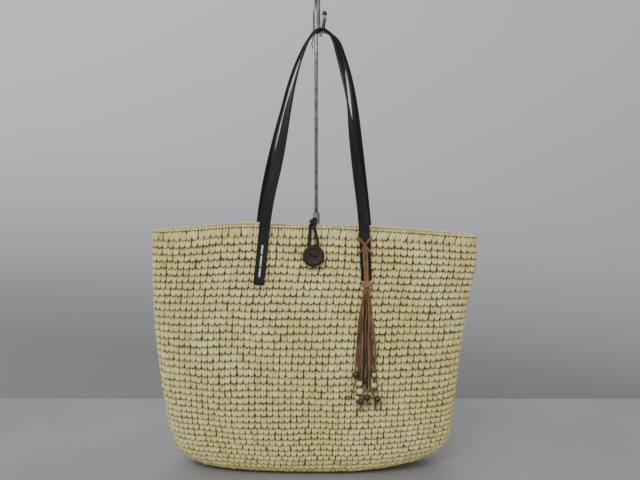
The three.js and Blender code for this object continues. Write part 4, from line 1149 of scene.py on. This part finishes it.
def lace_line(root, route):
    """Points of a lace down the panel, through the beads of its route."""
    points = [on_panel(TASSEL_X + root / 1000, knot_middle, knot_lift),
              on_panel(TASSEL_X + 1.2 * root / 1000, KNOT_BOTTOM - 0.003, knot_lift - 0.0006)]
    last = np.array([1.6 * root, 10, 1.5])
    points.append(hanging(*last))
    was_bead = False
    for stop in route:
        is_bead = stop in BEADS
        if is_bead:
            side, drop, across, along = BEADS[stop]
            target = np.array([side, drop - along / 2 - 7, 0])
        else:
            target = np.array(stop, float)
        parts = 0 if is_bead and was_bead else max(round((target[1] - last[1]) / LACE_STEP / 1000), 1)
        bow = np.array([chance.uniform(-LACE_BOW, LACE_BOW), 0, 0])
        points += [hanging(*(last + (target - last) * i / parts + bow * sin(pi * i / parts)))
                   for i in range(1, parts + 1)]
        last = target
        if is_bead:
            middle = bead_middle(stop)
            reach = along / 2 + 2.2
            points += [(middle[0], middle[1], middle[2] + up / 1000) for up in (reach, 0, -reach)]
            last = np.array([side, drop + reach, across / 2])
        was_bead = is_bead
    return points


# Outline across a strip of suede, a little crowned
STRIP_OUTLINE = np.array([
    (-1, -0.8), (0, -1), (1, -0.8), (1.06, 0), (1, 0.8), (0, 1), (-1, 0.8), (-1.06, 0),
]) * (LACE_WIDTH, LACE_THICKNESS)


def suede(name, dark, mid, pale):
    """Suede with a soft nap: blotched along the strip, dull, with a little sheen."""
    made = surface(name, Roughness=0.85, Sheen_Weight=0.35, Sheen_Roughness=0.5, Specular_IOR_Level=0.2)
    blotch = grain(made, "object", (1, 1, 0.35), 120, 5.0)
    nap = grain(made, "object", (1, 1, 1), 1800, 3.0)
    mixed = node(made, "MixRGB", Fac=0.25, Color1=blotch, Color2=nap)
    bump = node(made, "Bump", Height=nap, Strength=0.4, Distance=0.0004)
    dress(made, Base_Color=ramp(made, mixed, (0.32, dark), (0.5, mid), (0.68, pale)), Normal=bump)
    return made


suede_finishes = [
    suede("tan suede", (0.100, 0.045, 0.017), (0.205, 0.105, 0.040), (0.330, 0.185, 0.080)),
    suede("brown suede", (0.042, 0.018, 0.008), (0.105, 0.048, 0.019), (0.200, 0.105, 0.045)),
    suede("dark suede", (0.012, 0.005, 0.003), (0.030, 0.012, 0.007), (0.070, 0.030, 0.016)),
]

# Which of the three suedes each lace is cut from
LACE_TINTS = (1, 1, 0, 0, 1, 0, 0, 1, 2, 2, 2, 0, 1)

lace_meshes = {0: [], 1: [], 2: []}
for tint, (root, route) in zip(LACE_TINTS, LACES):
    line = lace_line(root, route)
    rows = len(line) * LACE_ROWS_PER_POINT
    turn = radians(chance.uniform(-LACE_TWIST, LACE_TWIST))
    lace_meshes[tint].append(cord_mesh(line, rows, STRIP_OUTLINE, twist=turn, taper=0.8))
for tint, meshes in lace_meshes.items():
    laces = piece(f"tassel_laces_{tint + 1}", merged(meshes), suede_finishes[tint])
    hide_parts("tassel")
    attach(laces, "root")

over_strap = CLEARANCE + STRAP_THICKNESS + lace_lift


def hitch(side, share, lift):
    """A point beside or over the right end of the front strap, a share down its sewn length."""
    rim, end = STRAP_ENDS["front"]["right"]
    return on_panel(rim + (end - rim) * share + side, HEIGHT - share * SEWN_LENGTHS["right"], lift)


beside = STRAP_WIDTH / 2 + LACE_CORE + CLEARANCE + 0.0002
hitch_meshes = []
for side in (-1, 1):
    hitch_meshes.append(cord_mesh([
        hitch(side * beside, 0.20, 0.0020),
        hitch(side * (beside - 0.0004), 0.215, over_strap - 0.0004),
        hitch(side * 0.6 * beside, 0.255, over_strap),
        hitch(0, 0.35, over_strap + 0.0003 * (1 + side)),
        hitch(-side * 0.6 * beside, 0.455, over_strap),
        hitch(-side * (beside - 0.0004), 0.485, over_strap - 0.0004),
        hitch(-side * beside, 0.50, 0.0020),
    ], 48, STRIP_OUTLINE * (1.15, 1), side=(0, 0, 1), taper=0.9))
    hitch_meshes.append(cord_mesh([
        hitch(side * 0.0006, 0.34, over_strap + 0.0010),
        hitch(side * 0.0019, 0.50, over_strap + 0.0008),
        hitch(side * 0.0017, 0.72, over_strap + 0.0004),
        hitch(side * 0.0015, 0.93, over_strap + 0.0002),
        on_panel(TASSEL_X + side * 0.001, KNOT_TOP - 0.004, knot_lift),
    ], 40, STRIP_OUTLINE, side=(1, 0, 0), taper=0.9))
wound = []
wound_steps = WOUND_TURNS * TURN_STEPS
seat = Vector(on_panel(TASSEL_X, knot_middle, knot_lift))
for i in range(wound_steps + 1):
    angle = i / TURN_STEPS * 2 * pi
    height = KNOT_BOTTOM + 0.0022 + (KNOT_LENGTH - 0.0044) * i / wound_steps
    radius = (KNOT_DIAMETER / 2 - 0.0007) * (0.86 + 0.14 * sin(pi * i / wound_steps))
    wound.append((seat.x + radius * cos(angle), seat.y - radius * sin(angle), height + 0.0012 * cos(angle)))
hitch_meshes.append(cord_mesh(wound, 150, STRIP_OUTLINE * (1.1, 1), side=(0, 0, 1)))
core = turned([(0, 0), (0.0026, 0), (0.0034, 0.003), (0.0036, 0.009), (0.0028, 0.0135), (0, 0.0145)], 16)
bmesh.ops.translate(core, verts=core.verts, vec=(seat.x, seat.y, KNOT_BOTTOM + 0.0008))
hitch_meshes.append(core)
for side in (-1, 1):
    hitch_meshes.append(cord_mesh([
        on_panel(TASSEL_X, KNOT_TOP - 0.005, knot_lift),
        on_panel(TASSEL_X + side * 0.0041, KNOT_TOP - 0.0025, knot_lift + 0.0008),
        on_panel(TASSEL_X + side * 0.0074, KNOT_TOP - 0.0035, knot_lift - 0.0008),
    ], 12, STRIP_OUTLINE, side=(0, 0, 1), taper=0.9))
hitched = piece("tassel_hitch", merged(hitch_meshes), suede_finishes[0])
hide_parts("tassel")
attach(hitched, "root")


# Beads
# Small turned wooden beads on the laces, the dark ones polished, the cream ones plainer.
BEAD_BORE = 0.0017
BEAD_SEGMENTS = 28
BEAD_ROWS = 10


def bead_finish(name, colours, **sockets):
    """Turned wood with rings of grain round the hole."""
    made = surface(name, **sockets)
    rings = grain(made, "object", (1, 1, 5), 240, 4.0)
    colour = ramp(made, rings, *zip((0.3, 0.5, 0.7), colours))
    bump = node(made, "Bump", Height=rings, Strength=0.15, Distance=0.0002)
    dress(made, Base_Color=colour, Normal=bump)
    return made


bead_finishes = {
    "dark": bead_finish("polished dark wood", ((0.012, 0.007, 0.004), (0.026, 0.016, 0.009),
                                               (0.055, 0.034, 0.018)), Roughness=0.25, Coat_Weight=0.4,
                        Coat_Roughness=0.12),
    "cream": bead_finish("cream wood", ((0.50, 0.39, 0.19), (0.68, 0.58, 0.31), (0.80, 0.72, 0.44)),
                         Roughness=0.4, Coat_Weight=0.2, Coat_Roughness=0.25),
}
for name, (_, _, across, along) in BEADS.items():
    radius, half = across / 2000, along / 2000
    start = np.arcsin(BEAD_BORE / radius)
    swing = np.linspace(start, pi - start, BEAD_ROWS + 1)
    outline = [(radius * sin(angle), -half * cos(angle) / cos(start)) for angle in swing]
    bead_mesh = turned(outline + [outline[0]], BEAD_SEGMENTS)
    bmesh.ops.translate(bead_mesh, verts=bead_mesh.verts, vec=bead_middle(name))
    bead = piece(f"turned_{name}", bead_mesh, bead_finishes[name.split("_")[1]])
    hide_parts(name)
    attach(bead, "root")


# Stand foot
# A plain steel plate in satin grey behind the bag, with eased edges, that carries the tube.
FOOT_CORNER = 0.012
FOOT_EASING = 0.0008

foot_low, foot_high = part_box("stand_foot")
foot_finish = surface("satin grey steel", Roughness=0.4, Metallic=0.6)
foot_speckle = grain(foot_finish, "object", (1, 1, 1), 700)
dress(foot_finish,
      Base_Color=ramp(foot_finish, foot_speckle, (0.3, (0.28, 0.29, 0.30)), (0.7, (0.38, 0.39, 0.40))),
      Normal=node(foot_finish, "Bump", Height=foot_speckle, Strength=0.15, Distance=0.0002))
foot_mesh = block(foot_high - foot_low, (foot_low + foot_high) / 2)
uprights = [edge for edge in foot_mesh.edges if abs(edge.verts[0].co.z - edge.verts[1].co.z) > 0.001]
bmesh.ops.bevel(foot_mesh, geom=uprights, offset=FOOT_CORNER, segments=8, profile=0.5, affect="EDGES",
                material=-1)
level_edges = [edge for edge in foot_mesh.edges if edge.calc_face_angle(0) > 0.8]
bmesh.ops.bevel(foot_mesh, geom=level_edges, offset=FOOT_EASING, segments=3, profile=0.5, affect="EDGES",
                material=-1)
foot = piece("foot_plate", foot_mesh, foot_finish)
foot.data.set_sharp_from_angle(angle=radians(40))
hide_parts("stand_foot")
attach(foot, "root")


# Stand tube, rod and hook
# A bright chromed tube, with a thinner rod that slides in it and a wire hook welded to its top.
# The hook's upturned end has a dark rubber tip, and a spring wire lies along the rod.
HOOK_RADIUS = 0.0025
ROD_RADIUS = 0.00275
TUBE_RADIUS = 0.0052
TUBE_HEIGHT = 0.359
TUBE_BORE_DEPTH = 0.060
POLE_X = 0.0003
HOOK_RISE = 0.046
CATCH_RADIUS = 0.0009
TIP_RADIUS = 0.0032

# Outline of the rubber tip: radius and height as shares of its radius
TIP_OUTLINE = ((0, 0), (0.80, 0), (0.94, 0.12), (1, 0.5), (0.97, 0.9), (0.85, 1.3), (0.66, 1.6),
               (0.42, 1.78), (0.2, 1.88), (0, 1.9))

pole_y = DEPTH / 2 + 0.012 + TUBE_RADIUS
hook_height = HEIGHT + STRAP_RISE - STRAP_THICKNESS / 2 - CLEARANCE - HOOK_RADIUS
bearing = STRAP_WIDTH + STRAP_GAP / 2 + 0.004

chrome_finish = surface("bright chrome", Roughness=0.12, Metallic=1.0)
chrome_wear = grain(chrome_finish, "object", (1, 1, 0.2), 300, 4.0)
chrome_marks = grain(chrome_finish, "object", (1, 1, 6), 14, 3.0)
chrome_colour = ramp(chrome_finish, chrome_marks, (0.3, (0.12, 0.12, 0.12)), (0.5, (0.24, 0.24, 0.245)),
                     (0.75, (0.36, 0.36, 0.37)))
dress(chrome_finish, Base_Color=chrome_colour,
      Roughness=node(chrome_finish, "MapRange", Value=chrome_wear, To_Min=0.10, To_Max=0.28),
      Normal=node(chrome_finish, "Bump", Height=chrome_wear, Strength=0.04, Distance=0.0002))
tube_bottom = foot_high.z + CLEARANCE
tube_mesh = turned([
    (0, tube_bottom), (TUBE_RADIUS, tube_bottom), (TUBE_RADIUS, tube_bottom + 0.001),
    (TUBE_RADIUS, TUBE_HEIGHT - 0.0012), (TUBE_RADIUS - 0.0004, TUBE_HEIGHT - 0.0003),
    (TUBE_RADIUS - 0.0010, TUBE_HEIGHT), (ROD_RADIUS + 0.0007, TUBE_HEIGHT),
    (ROD_RADIUS + CLEARANCE, TUBE_HEIGHT - 0.0006), (ROD_RADIUS + CLEARANCE, TUBE_HEIGHT - TUBE_BORE_DEPTH),
    (0, TUBE_HEIGHT - TUBE_BORE_DEPTH),
], 40)
bmesh.ops.translate(tube_mesh, verts=tube_mesh.verts, vec=(POLE_X, pole_y, 0))
tube = piece("chrome_tube", tube_mesh, chrome_finish)
tube.data.set_sharp_from_angle(angle=radians(50))
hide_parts("stand_tube")
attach(tube, "root")


def hook_point(x, y, up):
    return (x, y, hook_height + up)


hook_line = [
    hook_point(POLE_X, pole_y, HOOK_RISE - 0.004),
    hook_point(POLE_X, pole_y, HOOK_RISE + 0.006),
    hook_point(POLE_X + 0.0006, pole_y - 0.004, HOOK_RISE + 0.018),
    hook_point(POLE_X + 0.002, pole_y - 0.014, HOOK_RISE + 0.022),
    hook_point(POLE_X + 0.0034, pole_y - 0.024, HOOK_RISE + 0.014),
    hook_point(APEX_OFFSET - 0.0034, bearing + 0.009, 0.012),
    hook_point(APEX_OFFSET - 0.002, bearing + 0.003, 0.002),
    hook_point(APEX_OFFSET - 0.0014, bearing - 0.003, 0),
    hook_point(APEX_OFFSET, 0, 0),
    hook_point(APEX_OFFSET + 0.0012, 0.003 - bearing, 0),
    hook_point(APEX_OFFSET + 0.002, -bearing - 0.004, 0.0015),
    hook_point(APEX_OFFSET + 0.0032, -bearing - 0.011, 0.008),
    hook_point(APEX_OFFSET + 0.004, -bearing - 0.013, 0.013),
    hook_point(APEX_OFFSET + 0.004, -bearing - 0.013, 0.017),
]
hook_mesh = cord_mesh(hook_line, 160, ring_outline(HOOK_RADIUS, 20), taper=0.95)
rod_bottom = TUBE_HEIGHT - TUBE_BORE_DEPTH + CLEARANCE
rod_top = hook_height + HOOK_RISE
rod_mesh = turned([
    (0, rod_bottom), (ROD_RADIUS, rod_bottom), (ROD_RADIUS, rod_top - 0.0015),
    (ROD_RADIUS - 0.0003, rod_top - 0.0004), (HOOK_RADIUS, rod_top), (0, rod_top + 0.0001),
], 28)
bmesh.ops.translate(rod_mesh, verts=rod_mesh.verts, vec=(POLE_X, pole_y, 0))
rod = piece("chrome_rod_and_hook", merged([rod_mesh, hook_mesh]), chrome_finish)
rod.data.set_sharp_from_angle(angle=radians(60))
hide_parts("stand_rod")
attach(rod, "root")

catch_finish = surface("dark spring steel", Base_Color=(0.16, 0.165, 0.17, 1), Roughness=0.35, Metallic=1.0)
catch_wear = grain(catch_finish, "object", (1, 1, 0.3), 500)
dress(catch_finish, Roughness=node(catch_finish, "MapRange", Value=catch_wear, To_Min=0.25, To_Max=0.5))
catch_x = POLE_X - ROD_RADIUS - CLEARANCE - CATCH_RADIUS
catch_top = rod_top - 0.002
catch_line = [(catch_x, pole_y, catch_top), (catch_x, pole_y, catch_top - 0.027),
              (catch_x - 0.0006, pole_y, catch_top - 0.0405), (catch_x - 0.0024, pole_y, catch_top - 0.0475),
              (catch_x - 0.0004, pole_y, catch_top - 0.054)]
catch_mesh = cord_mesh(catch_line, 50, ring_outline(CATCH_RADIUS, 10), taper=0.6)
catch = piece("spring_catch", catch_mesh, catch_finish)
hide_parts("stand_catch")
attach(catch, "root")

tip_finish = surface("black rubber", Roughness=0.6)
tip_dust = grain(tip_finish, "object", (1, 1, 1), 900)
dress(tip_finish, Base_Color=ramp(tip_finish, tip_dust, (0.35, (0.013, 0.013, 0.014)),
                                  (0.75, (0.045, 0.045, 0.047))))
tip_mesh = turned([(TIP_RADIUS * share, TIP_RADIUS * up) for share, up in TIP_OUTLINE], 24)
bmesh.ops.translate(tip_mesh, verts=tip_mesh.verts, vec=Vector(hook_line[-1]) + Vector((0, 0, CLEARANCE)))
tip = piece("hook_tip", tip_mesh, tip_finish)
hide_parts("stand_tip")
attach(tip, "root")
